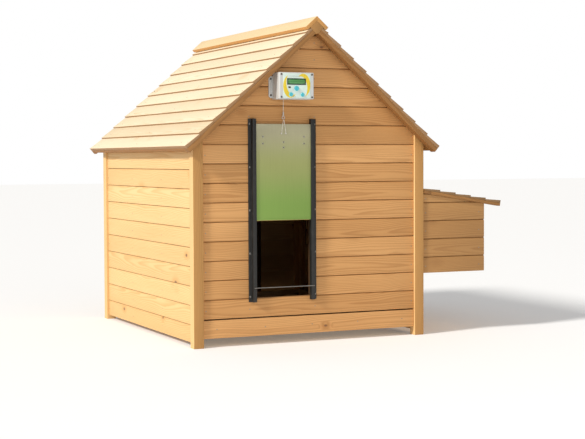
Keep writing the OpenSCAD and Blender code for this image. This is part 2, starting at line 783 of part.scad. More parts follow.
// Rows from the bottom board up to a height
nest_row_base = nest_base + nest_first;
module nest_rows(top) {
  rows = row_count(nest_row_base, top);
  for (k = [-1:rows - 1])
    let (z0 = k < 0 ? nest_base : row_z(nest_row_base, k),
      z1 = k == rows - 1 ? top : row_z(nest_row_base, k + 1))
      board_section(z0, z1);
}
module nest_end_boards() {
  color("tan") translate(shift) intersection() {
    union() {
      along_x(house_w + gap, nest_x1) translate([nest_y[0], 0]) nest_rows(lid_z);
      along_x(house_w + gap, nest_x1) translate([nest_y[1], 0]) mirror([1, 0]) nest_rows(lid_z);
    }
    under_lid();
  }
}
module nest_outer_boards() {
  color("tan") translate(shift)
    along_y(cell_y0 + gap, nest_y[1] - board_t - gap)
      translate([nest_x1, 0]) mirror([1, 0]) nest_rows(lid_under(nest_x1) - gap);
}
module nest_battens() {
  z0 = nest_base + floor_t + gap;
  color("burlywood") translate(shift)
    for (x = [ledger_x[1] + gap, nest_x1 - board_t - gap - stud],
         y = [cell_y0 + gap, nest_y[1] - board_t - gap - stud])
      box([x, y, z0], [x + stud, y + stud, lid_under(x + stud) - 4]);
}
module nest_dividers() {
  x0 = house_w + 1 + gap;
  x1 = nest_x1 - board_t - gap;
  z0 = nest_base + floor_t + gap;
  color("tan") translate(shift) for (y = divider_y)
    along_y(y - board_t / 2, y + board_t / 2)
      polygon([[x0, z0], [x1, z0], [x1, lid_under(x1) - 2], [x0, lid_under(x0) - 2]]);
}
module on_lid() {
  translate([house_w, 0, lid_z]) rotate([0, lid_pitch, 0]) children();
}
module lid_battens() {
  rail_s = 30;
  w = 24;
  color("burlywood") translate(shift) on_lid() {
    box([lid_gap, 0, 0], [rail_s, house_d, lid_batten_t - gap]);
    for (y = [0, (house_d - w) / 2, house_d - w])
      box([rail_s + gap, y, 0], [lid_s, y + w, lid_batten_t - gap]);
  }
}
module lid_boards() {
  color("wheat") translate(shift) on_lid() along_y(0, house_d)
    for (k = [0:lid_rows - 1])
      let (s0 = lid_gap + k * lid_exposure + (k > 0 ? gap : 0), s1 = lid_gap + (k + 1) * lid_exposure)
        polygon([[s0, lid_batten_t], [s1, lid_batten_t], [s1, lid_t],
          [s0, lid_batten_t + lid_thin]]);
}

// Hinges: the axis runs along Z, the leaf lies towards +X, its back at -Y
module hinge_half(moving) {
  third = hinge_len / 3;
  parts = moving ? [[third + 0.2, 2 * third - 0.2]]
    : [[0, third - 0.2], [2 * third + 0.2, hinge_len]];
  difference() {
    union() {
      box([knuckle_r + 0.5, -knuckle_r, 0], [leaf_w, -knuckle_r + leaf_t, hinge_len]);
      for (p = parts) {
        box([0, -knuckle_r, p[0]], [knuckle_r + 1, -knuckle_r + leaf_t, p[1]]);
        translate([0, 0, p[0]]) cylinder(h = p[1] - p[0], r = knuckle_r);
      }
    }
    translate([0, 0, -1]) cylinder(h = hinge_len + 2, r = pin_r + (moving ? pin_play : 0));
    for (p = hinge_screws_at)
      translate([p[0], 0, p[1]]) rotate([90, 0, 0]) cylinder(h = knuckle_r + 1, r = screw_r + 0.2);
  }
  for (p = hinge_screws_at)
    translate([p[0], leaf_t - knuckle_r, p[1]]) rotate([90, 0, 0]) {
      translate([0, 0, -head_t]) cylinder(h = head_t - near, r = head_r);
      translate([0, 0, -2 * near]) cylinder(h = 8, r = screw_r);
    }
  if (!moving) cylinder(h = hinge_len, r = pin_r - 0.001);
}
module lid_hinge_wall() {
  color("silver") translate(shift) for (y = lid_hinge_y)
    translate([lid_pin_x, y, lid_pin_z]) rotate([-90, -90, 0]) hinge_half(false);
}
module lid_hinge_lid() {
  color("silver") translate(shift) for (y = lid_hinge_y)
    translate([lid_pin_x, y + hinge_len, lid_pin_z]) rotate([0, leaf_slope, 0])
      rotate([90, 0, 0]) hinge_half(true);
}

// Rear door ----------------------------------------------------------------

module rear_door_boards() {
  color("tan") translate(shift) for (k = [1:rear_rows])
    let (z0 = row_z(front_base, k), z1 = row_z(front_base, k + 1))
      along_x(rear_x0 + rear_play, door_edge) translate([rear_face, 0]) mirror([1, 0])
        board_section(k == 1 ? z0 + rear_play : z0, k == rear_rows ? z1 - rear_play : z1);
}
module rear_door_battens() {
  w = 40;
  y = [house_d - inner - stud + 2, house_d - inner];
  color("burlywood") translate(shift) for (x = [rear_x0 + 8, rear_x1 - stop_lap - 4 - w])
    box([x, y[0], rear_z0 + 8], [x + w, y[1], rear_z1 - 8]);
}
module rear_hinges_wall() {
  color("silver") translate(shift) for (z = rear_hinge_z)
    translate([rear_pin[0], rear_pin[1], z + hinge_len]) rotate([0, 180, 0]) hinge_half(false);
}
module rear_hinges_door() {
  color("silver") translate(shift) for (z = rear_hinge_z)
    translate([rear_pin[0], rear_pin[1], z]) hinge_half(true);
}
module bolt_guide(x) {
  half = bolt_r + guide_wall;
  box([x, rear_face + near + leaf_t - 0.01, bolt_z - half],
    [x + guide_w, bolt_y + half, bolt_z + half]);
}
module bolt_hole(x) {
  translate([x - 1, bolt_y, bolt_z]) rotate([0, 90, 0])
    cylinder(h = guide_w + 2, r = bolt_r + bolt_play);
}
guide_x = [door_edge - 72, door_edge - 22];
keeper_x = rear_x1 + 5;
module bolt_plate(x0, x1) {
  box([x0, rear_face + near, bolt_z - 13], [x1, rear_face + near + leaf_t, bolt_z + 13]);
}
module bolt_body() {
  color("silver") translate(shift) difference() {
    union() {
      bolt_plate(guide_x[0] - 4, guide_x[1] + guide_w + 4);
      for (x = guide_x) bolt_guide(x);
    }
    for (x = guide_x) bolt_hole(x);
  }
}
module bolt_keeper() {
  color("silver") translate(shift) difference() {
    union() {
      bolt_plate(keeper_x - 4, keeper_x + guide_w + 14);
      bolt_guide(keeper_x);
    }
    bolt_hole(keeper_x);
  }
}
module bolt_rod() {
  x1 = guide_x[1] + guide_w + 3;
  color("gainsboro") translate(shift) {
    translate([x1 - bolt_len, bolt_y, bolt_z]) rotate([0, 90, 0])
      cylinder(h = bolt_len, r = bolt_r);
    translate([guide_x[0] + guide_w + knob_r + 2, bolt_y, bolt_z]) rotate([-90, 0, 0])
      cylinder(h = bolt_r + 12, r = knob_r);
  }
}

corner_posts();
front_boards();
rear_boards();
left_boards();
right_boards();
corner_cleats();
door_studs();
side_studs();
top_plates();
tray_runners();
ridge_beam();
roof_battens();
roof_boards_left();
roof_boards_right();
ridge_caps();
perch_brackets();
perches();
tray_front();
tray_pan();
door_rails();
rail_screws();
rail_tie_rod();
door_panel();
panel_cords();
cord_clip();
lift_cord();
case_base();
case_lid();
case_screws();
front_label();
display_frame();
display_window();
light_sensor();
main_button();
left_button();
right_button();
button_switches();
circuit_board();
battery_pack();
gearmotor();
winch_drum();
winch_shaft();
wound_cord();
nest_ledgers();
nest_floor();
nest_end_boards();
nest_outer_boards();
nest_battens();
nest_dividers();
lid_battens();
lid_boards();
lid_hinge_wall();
lid_hinge_lid();
rear_door_boards();
rear_door_battens();
rear_hinges_wall();
rear_hinges_door();
bolt_body();
bolt_rod();
bolt_keeper();
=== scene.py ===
"""Looks of the hen house: boarded walls, lapped roof, nest box and the powered pop door."""
import math
import random

import bmesh
import bpy
from mathutils import Matrix, Vector, noise


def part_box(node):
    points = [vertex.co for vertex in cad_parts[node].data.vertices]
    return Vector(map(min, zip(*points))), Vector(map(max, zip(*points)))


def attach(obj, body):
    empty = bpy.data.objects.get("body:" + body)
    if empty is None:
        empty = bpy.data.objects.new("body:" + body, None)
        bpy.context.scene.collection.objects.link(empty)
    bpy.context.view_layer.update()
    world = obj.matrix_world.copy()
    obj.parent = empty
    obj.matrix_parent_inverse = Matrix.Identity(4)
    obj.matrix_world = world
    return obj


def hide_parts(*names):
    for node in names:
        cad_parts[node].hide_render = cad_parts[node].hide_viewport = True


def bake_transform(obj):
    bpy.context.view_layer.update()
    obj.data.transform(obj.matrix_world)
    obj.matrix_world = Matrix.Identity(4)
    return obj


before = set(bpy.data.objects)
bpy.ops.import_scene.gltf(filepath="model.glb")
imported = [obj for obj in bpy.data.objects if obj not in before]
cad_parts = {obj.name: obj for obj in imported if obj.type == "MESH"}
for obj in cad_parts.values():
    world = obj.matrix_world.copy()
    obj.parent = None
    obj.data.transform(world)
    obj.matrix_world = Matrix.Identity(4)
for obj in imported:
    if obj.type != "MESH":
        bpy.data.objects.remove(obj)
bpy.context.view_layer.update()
MM = 0.001


def node_box(name):
    low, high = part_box(name)
    return Vector(low), Vector(high)


# ---------------------------------------------------------------- camera and light

POSTS = node_box("corner_posts")
HOUSE = Vector((POSTS[0].x, POSTS[0].y, 0.0))      # front left foot of the house
CAMERA_FROM_FOOT = Vector((-1.574, -4.228, 0.620))
CAMERA_TURN = (87.492, 0.247, -24.530)             # degrees: up from straight down, roll, and left
LENS_MM = 85.27


def make_camera():
    data = bpy.data.cameras.new("camera")
    data.lens = LENS_MM
    data.sensor_width = 36.0
    camera = bpy.data.objects.new("camera", data)
    bpy.context.scene.collection.objects.link(camera)
    camera.location = HOUSE + CAMERA_FROM_FOOT
    camera.rotation_euler = [math.radians(a) for a in CAMERA_TURN]
    bpy.context.scene.camera = camera


def area_light(name, place, aim, size, watts, colour):
    data = bpy.data.lights.new(name, "AREA")
    data.shape = "DISK"
    data.size = size
    data.energy = watts
    data.color = colour
    lamp = bpy.data.objects.new(name, data)
    bpy.context.scene.collection.objects.link(lamp)
    lamp.location = place
    lamp.rotation_euler = (Vector(aim) - Vector(place)).to_track_quat("-Z", "Y").to_euler()


def make_stage():
    floor_mesh = bpy.data.meshes.new("floor")
    half = 30.0
    floor_mesh.from_pydata([(-half, -half, 0), (half, -half, 0), (half, half, 0), (-half, half, 0)],
                           [], [(0, 1, 2, 3)])
    floor = bpy.data.objects.new("floor", floor_mesh)
    bpy.context.scene.collection.objects.link(floor)
    floor_mat = bpy.data.materials.new("pale_floor")
    floor_mat.use_nodes = True
    shader = floor_mat.node_tree.nodes["Principled BSDF"]
    shader.inputs["Base Color"].default_value = (0.92, 0.92, 0.92, 1)
    shader.inputs["Roughness"].default_value = 0.9
    shader.inputs["Emission Color"].default_value = (1, 1, 1, 1)
    shader.inputs["Emission Strength"].default_value = 0.1
    floor_mesh.materials.append(floor_mat)
    world = bpy.data.worlds.new("studio")
    world.use_nodes = True
    tree = world.node_tree
    seen = tree.nodes.new("ShaderNodeLightPath")
    strength = tree.nodes.new("ShaderNodeMapRange")     # soft light, but a white backdrop
    strength.inputs["To Min"].default_value = 0.42
    strength.inputs["To Max"].default_value = 1.0
    tree.links.new(seen.outputs["Is Camera Ray"], strength.inputs["Value"])
    tree.links.new(strength.outputs["Result"], tree.nodes["Background"].inputs["Strength"])
    tree.nodes["Background"].inputs["Color"].default_value = (1.0, 1.0, 1.0, 1)
    bpy.context.scene.world = world
    bpy.context.scene.view_settings.view_transform = "Standard"
    sun = bpy.data.lights.new("key", "SUN")
    sun.energy = 3.0
    sun.angle = math.radians(9)
    sun.color = (1.0, 0.97, 0.92)
    lamp = bpy.data.objects.new("key", sun)
    bpy.context.scene.collection.objects.link(lamp)
    lamp.rotation_euler = Vector((0.86, 0.22, -0.62)).to_track_quat("-Z", "Y").to_euler()
    area_light("front_fill", (-0.5, -5.0, 2.4), (0, 0, 0.5), 3.0, 30, (1.0, 0.98, 0.95))


make_camera()
make_stage()


# ---------------------------------------------------------------- shader helpers

class Value:
    """A number that varies over a surface, for ordinary sums with others in its node tree."""

    def __init__(self, tree, socket):
        self.tree, self.socket = tree, socket

    def maths(self, operation, *values, clamp=False):
        made = add_node(self.tree, "ShaderNodeMath", operation=operation, use_clamp=clamp)
        for socket, value in zip(made.inputs, values):
            feed(self.tree, socket, value)
        return Value(self.tree, made.outputs[0])

    def __add__(self, other):
        return self.maths("ADD", self, other)

    def __radd__(self, other):
        return self.maths("ADD", other, self)

    def __sub__(self, other):
        return self.maths("SUBTRACT", self, other)

    def __rsub__(self, other):
        return self.maths("SUBTRACT", other, self)

    def __mul__(self, other):
        return self.maths("MULTIPLY", self, other)

    def __rmul__(self, other):
        return self.maths("MULTIPLY", other, self)

    def __truediv__(self, other):
        return self.maths("DIVIDE", self, other)

    def __pow__(self, other):
        return self.maths("POWER", self, other)

    def __gt__(self, other):
        return self.maths("GREATER_THAN", self, other)

    def __lt__(self, other):
        return self.maths("LESS_THAN", self, other)

    def fraction(self):
        return self.maths("FRACT", self)

    def clamped(self):
        """The same sum, kept between 0 and 1."""
        self.socket.node.use_clamp = True
        return self


def link(tree, a, b):
    tree.links.new(a.socket if isinstance(a, Value) else a, b)


def feed(tree, socket, value):
    """Sets a socket to a plain value, or links it to another node's output."""
    if isinstance(value, (int, float, tuple)):
        socket.default_value = value
    else:
        link(tree, value, socket)


def add_node(tree, kind, **values):
    made = tree.nodes.new(kind)
    for key, value in values.items():
        setattr(made, key, value)
    return made


def attribute(tree, name):
    return add_node(tree, "ShaderNodeAttribute", attribute_name=name)


def axes(tree, vector):
    """The three parts of a vector."""
    split = add_node(tree, "ShaderNodeSeparateXYZ")
    link(tree, vector, split.inputs[0])
    return [Value(tree, part) for part in split.outputs]


def mix_colour(tree, factor, a, b, blend="MIX"):
    made = add_node(tree, "ShaderNodeMix", data_type="RGBA", blend_type=blend)
    for number, value in ((0, factor), (6, a), (7, b)):
        feed(tree, made.inputs[number], value)
    return made.outputs[2]


def ramp(tree, value, low, high):
    made = add_node(tree, "ShaderNodeMapRange", interpolation_type="SMOOTHSTEP")
    link(tree, value, made.inputs["Value"])
    made.inputs["From Min"].default_value = low
    made.inputs["From Max"].default_value = high
    return Value(tree, made.outputs["Result"])


def noise_node(tree, vector, scale, detail):
    made = add_node(tree, "ShaderNodeTexNoise")
    link(tree, vector, made.inputs["Vector"])
    made.inputs["Scale"].default_value = scale
    made.inputs["Detail"].default_value = detail
    made.inputs["Roughness"].default_value = 0.55
    return Value(tree, made.outputs["Fac"])


def scaled(tree, vector, x, y, z):
    made = add_node(tree, "ShaderNodeVectorMath", operation="MULTIPLY")
    link(tree, vector, made.inputs[0])
    made.inputs[1].default_value = (x, y, z)
    return made.outputs[0]


def shifted(tree, vector, offset):
    made = add_node(tree, "ShaderNodeVectorMath", operation="ADD")
    link(tree, vector, made.inputs[0])
    link(tree, offset, made.inputs[1])
    return made.outputs[0]


def new_group(name, inputs, outputs):
    group = bpy.data.node_groups.new(name, "ShaderNodeTree")
    for label, kind, value in inputs:
        socket = group.interface.new_socket(label, in_out="INPUT", socket_type=kind)
        socket.default_value = value
    for label, kind in outputs:
        group.interface.new_socket(label, in_out="OUTPUT", socket_type=kind)
    start = group.nodes.new("NodeGroupInput")
    end = group.nodes.new("NodeGroupOutput")
    return group, start, end


def place_group(tree, group, values):
    """A shared group in a material, with its own values."""
    made = add_node(tree, "ShaderNodeGroup", node_tree=group)
    for label, value in values.items():
        made.inputs[label].default_value = value
    return made


def build_timber_group():
    """Sawn softwood: growth rings, fine streaks, sparse knots, board-to-board tone, and painted
    shade in the laps, with darker sawn ends.
    """
    group, start, end = new_group("timber_grain", [
        ("Light", "NodeSocketColor", (0.86, 0.62, 0.33, 1)),
        ("Dark", "NodeSocketColor", (0.62, 0.38, 0.16, 1)),
        ("Knot", "NodeSocketColor", (0.22, 0.09, 0.03, 1)),
        ("Knots", "NodeSocketFloat", 0.3),
        ("Contrast", "NodeSocketFloat", 0.55),
        ("Tone Spread", "NodeSocketFloat", 0.25),
        ("Seam", "NodeSocketColor", (0.16, 0.07, 0.02, 1))],
        [("Color", "NodeSocketColor"), ("Roughness", "NodeSocketFloat"),
         ("Height", "NodeSocketFloat")])
    grain = attribute(group, "grain").outputs["Vector"]
    seed = Value(group, attribute(group, "board_seed").outputs["Fac"])
    offset = add_node(group, "ShaderNodeCombineXYZ")
    for socket, factor in zip(offset.inputs, (37.0, 11.0, 23.0)):
        link(group, seed * factor, socket)
    place = shifted(group, grain, offset.outputs[0])

    def mottle(along, across_board, detail=2):
        """Noise with its own scale along a board and across it."""
        stretched = scaled(group, place, along, across_board, across_board)
        return noise_node(group, stretched, 1.0, detail)

    # growth rings: distance from a pith line that leans through the board
    along, across, depth = axes(group, grain)
    lean = (seed * 7.31).fraction() - 0.5
    sway = mottle(2.2, 5) * 0.055
    pith = seed.maths("SINE", seed * 40.0) * 0.02
    across = across + sway + pith
    depth = depth + 0.020 + along * (lean * 0.055)
    square = across * across + depth * depth
    radius = square.maths("SQRT", square)
    # knots: sparse cells of a stretched pattern, each with a dark eye and bent rings round it
    cells = add_node(group, "ShaderNodeTexVoronoi", feature="F1")
    link(group, scaled(group, place, 6.0, 10.0, 0.01), cells.inputs["Vector"])
    cells.inputs["Scale"].default_value = 1.0
    cells.inputs["Randomness"].default_value = 0.9
    chance = add_node(group, "ShaderNodeSeparateColor")
    link(group, cells.outputs["Color"], chance.inputs[0])
    chosen = Value(group, chance.outputs[0]) < start.outputs["Knots"]
    size = Value(group, chance.outputs[1]) * 0.05 + 0.04
    eye = Value(group, cells.outputs["Distance"]) / size
    core = chosen * (1.0 - ramp(group, eye, 0.55, 1.25))
    halo = chosen * (1.0 - ramp(group, eye, 0.8, 4.2))
    rings = (radius + halo * 0.006) * 260.0
    band = (rings * 0.9 + mottle(3, 60) * 0.8).fraction()
    late = ramp(group, band, 0.25, 0.86) * (1.0 - ramp(group, band, 0.88, 1.0))
    streak = (mottle(9, 420, 3) - 0.4) * 0.7
    broad = (mottle(1.4, 14) - 0.45) * 0.9
    fibre = mottle(40, 1800)
    darkness = ((late * 0.75 + (streak + broad)) * start.outputs["Contrast"]).clamped()
    base = mix_colour(group, darkness, start.outputs["Light"], start.outputs["Dark"])
    base = mix_colour(group, halo * 0.55, base, start.outputs["Dark"])
    base = mix_colour(group, core * 0.92, base, start.outputs["Knot"])
    # boards differ in tone, and the darker ones are a little redder
    tone = ((seed * 3.77).fraction() - 0.5) * start.outputs["Tone Spread"] + 1.0
    tint = add_node(group, "ShaderNodeCombineColor")
    for socket, power in zip(tint.inputs, (0.75, 1.0, 1.45)):
        link(group, tone ** power, socket)
    base = mix_colour(group, 1.0, base, tint.outputs[0], "MULTIPLY")
    # painted shade in the laps and on the lower ends of lapped boards, plus sawn ends darkened for
    # end grain and painted shade
    seam_shade_and_end_grain = ramp(group, attribute(group, "seam_shade_and_end_grain").outputs["Fac"], 0.35, 0.9)
    base = mix_colour(group, seam_shade_and_end_grain * 0.85, base, start.outputs["Seam"])
    link(group, base, end.inputs["Color"])
    link(group, fibre * 0.2 - core * 0.2 + 0.58, end.inputs["Roughness"])
    link(group, fibre * 0.5 - (late * 0.35 + core * 0.6), end.inputs["Height"])
    return group


TIMBER = build_timber_group()


def plain_material(name, colour, roughness, metallic=0.0):
    made = bpy.data.materials.new(name)
    made.use_nodes = True
    shader = made.node_tree.nodes["Principled BSDF"]
    shader.inputs["Base Color"].default_value = (*colour, 1)
    shader.inputs["Roughness"].default_value = roughness
    shader.inputs["Metallic"].default_value = metallic
    return made, made.node_tree, shader


def bump_from(tree, shader, height, distance, strength=1.0):
    bump = add_node(tree, "ShaderNodeBump")
    bump.inputs["Strength"].default_value = strength
    bump.inputs["Distance"].default_value = distance
    link(tree, height, bump.inputs["Height"])
    link(tree, bump.outputs["Normal"], shader.inputs["Normal"])


def timber_material(name, light, dark, knots=0.3, contrast=0.55, spread=0.25,
                    knot=(0.20, 0.085, 0.03), seam_shade_and_end_grain=(0.22, 0.10, 0.03)):
    made, tree, shader = plain_material(name, light, 0.6)
    use = place_group(tree, TIMBER, {
        "Light": (*light, 1), "Dark": (*dark, 1), "Knot": (*knot, 1), "Knots": knots,
        "Contrast": contrast, "Tone Spread": spread, "Seam": (*seam_shade_and_end_grain, 1)})
    link(tree, use.outputs["Color"], shader.inputs["Base Color"])
    link(tree, use.outputs["Roughness"], shader.inputs["Roughness"])
    bump_from(tree, shader, use.outputs["Height"], 0.0006, 0.5)
    return made


WALL = timber_material("wall_fir", (0.80, 0.53, 0.24), (0.60, 0.32, 0.10), knots=0.6,
                       contrast=0.6, spread=0.22)
# front wood: darker and redder than the wall wood, as painted shade on the shaded front
FRONT_WITH_PAINTED_SHADE = timber_material("front_fir_painted_shade", (0.67, 0.35, 0.125), (0.42, 0.185, 0.05), knots=0.62,
                        contrast=0.65, spread=0.3)
# darker frame timber, also used as painted shade on the front faces of the front posts
FRAME_AND_POST_SHADE = timber_material("frame_fir_and_post_shade", (0.52, 0.27, 0.08), (0.36, 0.16, 0.04), knots=0.2,
                        spread=0.15)
ROOF = timber_material("roof_fir", (0.85, 0.71, 0.50), (0.70, 0.50, 0.27), knots=0.3,
                       contrast=0.55, spread=0.18, seam_shade_and_end_grain=(0.27, 0.11, 0.02),
                       knot=(0.42, 0.28, 0.16))
CAP = timber_material("cap_fir", (0.78, 0.59, 0.34), (0.62, 0.42, 0.20), knots=0.2,
                      seam_shade_and_end_grain=(0.55, 0.24, 0.04))
RAKE = timber_material("rake_fir", (0.34, 0.155, 0.04), (0.22, 0.09, 0.02), knots=0.15)
# near-black wood: painted shade in the reveal of the pop hole
REVEAL_SHADE = timber_material("stud_painted_shade", (0.09, 0.04, 0.01), (0.06, 0.025, 0.006), knots=0.15)
# nest wood: darker than the wall wood, as painted shade on the nest box on the shaded side
NEST_WITH_PAINTED_SHADE = timber_material("nest_fir_painted_shade", (0.47, 0.245, 0.082), (0.31, 0.14, 0.04), knots=0.3,
                             contrast=0.6, spread=0.25)
LID = timber_material("lid_fir", (0.36, 0.21, 0.09), (0.25, 0.125, 0.045), knots=0.2,
                      seam_shade_and_end_grain=(0.14, 0.07, 0.025))
PERCH = timber_material("perch_pine", (0.70, 0.48, 0.26), (0.48, 0.29, 0.12), knots=0.15)
PLY = timber_material("tray_ply", (0.74, 0.55, 0.33), (0.58, 0.38, 0.20), knots=0.05,
                      contrast=0.4)


# ---------------------------------------------------------------- timber pieces

def clusters(items, neighbours):
    """Groups of joined faces or edges, in the mesh's own order."""
    wanted, seen = set(items), set()
    for first in items:
        if first in seen:
            continue
        seen.add(first)
        group, queue = [first], [first]
        while queue:
            for other in neighbours(queue.pop()):
                if other in wanted and other not in seen:
                    seen.add(other)
                    group.append(other)
                    queue.append(other)
        yield group


def islands(bm):
    """Groups of joined faces, one for each board."""
    return clusters(bm.faces[:], lambda face: [f for e in face.edges for f in e.link_faces])


def merged_copy(node):
    """A CAD node's solids with their flat faces whole again."""
    bm = bmesh.new()
    bm.from_mesh(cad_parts[node].data)
    bmesh.ops.remove_doubles(bm, verts=bm.verts, dist=2e-6)
    bmesh.ops.dissolve_limit(bm, angle_limit=math.radians(0.5), verts=bm.verts, edges=bm.edges)
    return bm


def show(name, bm, body, material, smooth, nodes=()):
    """Finishes a mesh as a piece at the origin that rides on a body."""
    mesh = bpy.data.meshes.new(name)
    bm.to_mesh(mesh)
    bm.free()
    show_mesh(name, mesh, body, material, smooth, nodes)


def show_mesh(name, mesh, body, material, smooth, nodes=()):
    made = bpy.data.objects.new(name, mesh)
    bpy.context.scene.collection.objects.link(made)
    for one in material if isinstance(material, list) else [material]:
        mesh.materials.append(one)
    mesh.polygons.foreach_set("use_smooth", [True] * len(mesh.polygons))
    mesh.set_sharp_from_angle(angle=math.radians(smooth))
    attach(made, body)
    if nodes:
        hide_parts(*nodes)


def scratch_object(name, bm):
    """A mesh as an object that isn't a piece yet."""
    mesh = bpy.data.meshes.new(name)
    bm.to_mesh(mesh)
    bm.free()
    made = bpy.data.objects.new(name, mesh)
    bpy.context.scene.collection.objects.link(made)
    return made


def extent(points):
    """The lowest and highest corners of the box round some points."""
    return [Vector([end(p[i] for p in points) for i in range(3)]) for end in (min, max)]


def long_axis(points, slopes):
    """The direction, along an axis or a slope, in which a board is longest."""
    def reach(axis):
        along = [axis.dot(p) for p in points]
        return max(along) - min(along)
    best = max(slopes, key=reach)
    flat = min(slopes, key=reach)
    across = best.cross(flat).normalized()
    return best, across, best.cross(across)


AXES = [Vector((1, 0, 0)), Vector((0, 1, 0)), Vector((0, 0, 1))]
CUT_EVERY = 0.1             # metres between the cuts that let a board warp
LAP = 11.3 * MM             # a wall board is this deep where it counts as its back
END = 0.25 * MM             # corners this close to a board's end are on its sawn end


def eased_board(group, bevel, axis):
    """One board on its own, with eased edges and cuts along its length."""
    one = bmesh.new()
    index = {}
    for face in group:
        for v in face.verts:
            if v not in index:
                index[v] = one.verts.new(v.co)
    for face in group:
        one.faces.new([index[v] for v in face.verts])
    if bevel:
        bmesh.ops.bevel(one, geom=one.edges[:], offset=bevel * MM, segments=2, profile=0.6,
                        affect="EDGES", clamp_overlap=True)
    ends = [axis.dot(v.co) for v in one.verts]
    low, high = min(ends), max(ends)
    cuts = int((high - low) / CUT_EVERY)
    for k in range(1, cuts):
        everything = one.verts[:] + one.edges[:] + one.faces[:]
        bmesh.ops.bisect_plane(one, geom=everything, plane_no=axis, dist=1e-6,
                               plane_co=axis * (low + (high - low) * k / cuts))
    return one


def lap_painted_shade(depth_below):
    """Painted shade on a wall board where the board above laps over its bevel, and on its back."""
    if depth_below > LAP:
        return 0.62
    return min(max((depth_below / MM - 0.4) / 3.4, 0.0), 1.0)


def timber(name, nodes, body, material, bevel=0.8, slopes=(), warp=0.3, seed=1, core=None,
           down=None, pick=None, ends=0.6):
    """Boards of some CAD nodes with eased edges, a slight warp and a grain of their own.

    core is a point inside, for boards with painted shade on their bevels. down gives, from a
    board's middle, the way that lapped boards run, and paints shade on their lower ends. pick gives
    a face's material from the board's middle and the face's normal. ends is how dark sawn ends are,
    as end grain and painted shade.
    """
    draw = random.Random(seed)
    turned = [Matrix.Rotation(a, 3, "Y") @ v for a in slopes for v in (AXES[0], AXES[2])]
    places, faces, grains, seeds, seam_shade_and_end_grain_values, picks = [], [], [], [], [], []
    for node in nodes:
        source = merged_copy(node)
        for group in islands(source):
            points = [v.co.copy() for v in dict.fromkeys(v for f in group for v in f.verts)]
            axis, across, depth = long_axis(points, AXES + turned)
            middle = sum(points, Vector()) / len(points)
            if core and depth.dot(middle - core) < 0:
                depth = -depth
            outer = max(depth.dot(p) for p in points)
            slope = down(middle) if down else None
            lowest = max(slope.dot(p) for p in points) if down else 0
            reach = [axis.dot(p - middle) for p in points]
            reach = (min(reach) + END, max(reach) - END)
            number = draw.random()
            board = eased_board(group, bevel, axis)
            board.verts.index_update()
            first = len(places)
            for v in board.verts:
                local = v.co - middle
                along = axis.dot(local)
                grains.extend((along, across.dot(local), depth.dot(local)))
                seeds.append(number)
                # painted shade in the lap over each wall board's bevel and on its back
                seam_shade_and_end_grain = lap_painted_shade(outer - depth.dot(v.co)) if core else 0.0
                # the lower end of a lapped board gets full painted shade
                if down and lowest - slope.dot(v.co) < 0.3 * MM:
                    seam_shade_and_end_grain = 1.0
                # sawn ends are darker, as end grain and painted shade
                if not reach[0] < along < reach[1]:
                    seam_shade_and_end_grain = max(seam_shade_and_end_grain, ends)
                seam_shade_and_end_grain_values.append(seam_shade_and_end_grain)
                wave = noise.noise(Vector((number * 50, along * 4, 0.5)))
                places.append(v.co + depth * (wave * warp * MM))
            faces.extend([first + v.index for v in f.verts] for f in board.faces)
            picks.extend(pick(middle, f.normal) if pick else 0 for f in board.faces)
            board.free()
        source.free()
    mesh = bpy.data.meshes.new(name)
    mesh.from_pydata(places, [], faces)
    mesh.polygons.foreach_set("material_index", picks)
    mesh.attributes.new("grain", "FLOAT_VECTOR", "POINT").data.foreach_set("vector", grains)
    mesh.attributes.new("board_seed", "FLOAT", "POINT").data.foreach_set("value", seeds)
    mesh.attributes.new("seam_shade_and_end_grain", "FLOAT", "POINT").data.foreach_set("value", seam_shade_and_end_grain_values)
    show_mesh(name, mesh, body, material, 35, nodes)


ROOF_TURN = math.radians(41.4)
LID_TURN = math.radians(9.14)
CABIN = (POSTS[0] + POSTS[1]) / 2
FLOOR_BOX = node_box("nest_floor")
NEST = (FLOOR_BOX[0] + FLOOR_BOX[1]) / 2 + Vector((0, 0, 0.1))
RIDGE_X = CABIN.x
DOWN_LEFT = Vector((-math.cos(ROOF_TURN), 0, -math.sin(ROOF_TURN)))
DOWN_RIGHT = Vector((math.cos(ROOF_TURN), 0, -math.sin(ROOF_TURN)))
DOWN_LID = Vector((math.cos(LID_TURN), 0, -math.sin(LID_TURN)))

for seed, (name, node, finish) in enumerate((
        ("front_wall", "front_boards", FRONT_WITH_PAINTED_SHADE), ("rear_wall", "rear_boards", WALL),
        ("left_wall", "left_boards", WALL), ("right_wall", "right_boards", WALL)), 11):
    timber(name, [node], "coop", finish, seed=seed, core=CABIN)
# front posts: faces square to the front take the darker frame timber as painted shade; their sides
# and the rear posts take the wall timber
timber("posts", ["corner_posts"], "coop", [FRAME_AND_POST_SHADE, WALL], bevel=1.2, seed=15,
       pick=lambda middle, normal: int(middle.y > CABIN.y or abs(normal.x) > 0.7))
timber("frame_sticks", ["corner_cleats", "side_studs", "top_plates", "tray_runners",
                        "nest_ledgers", "nest_battens"],
       "coop", FRAME_AND_POST_SHADE, bevel=0.7, seed=16)
# the studs that line the pop hole are coloured with painted shade
timber("door_side_studs", ["door_studs"], "coop", REVEAL_SHADE, bevel=0.7, seed=36)
timber("ridge_beam_wood", ["ridge_beam"], "coop", FRAME_AND_POST_SHADE, bevel=1.0, seed=17)
timber("rakes", ["roof_battens"], "coop", RAKE, slopes=(ROOF_TURN, -ROOF_TURN),
       seed=18)
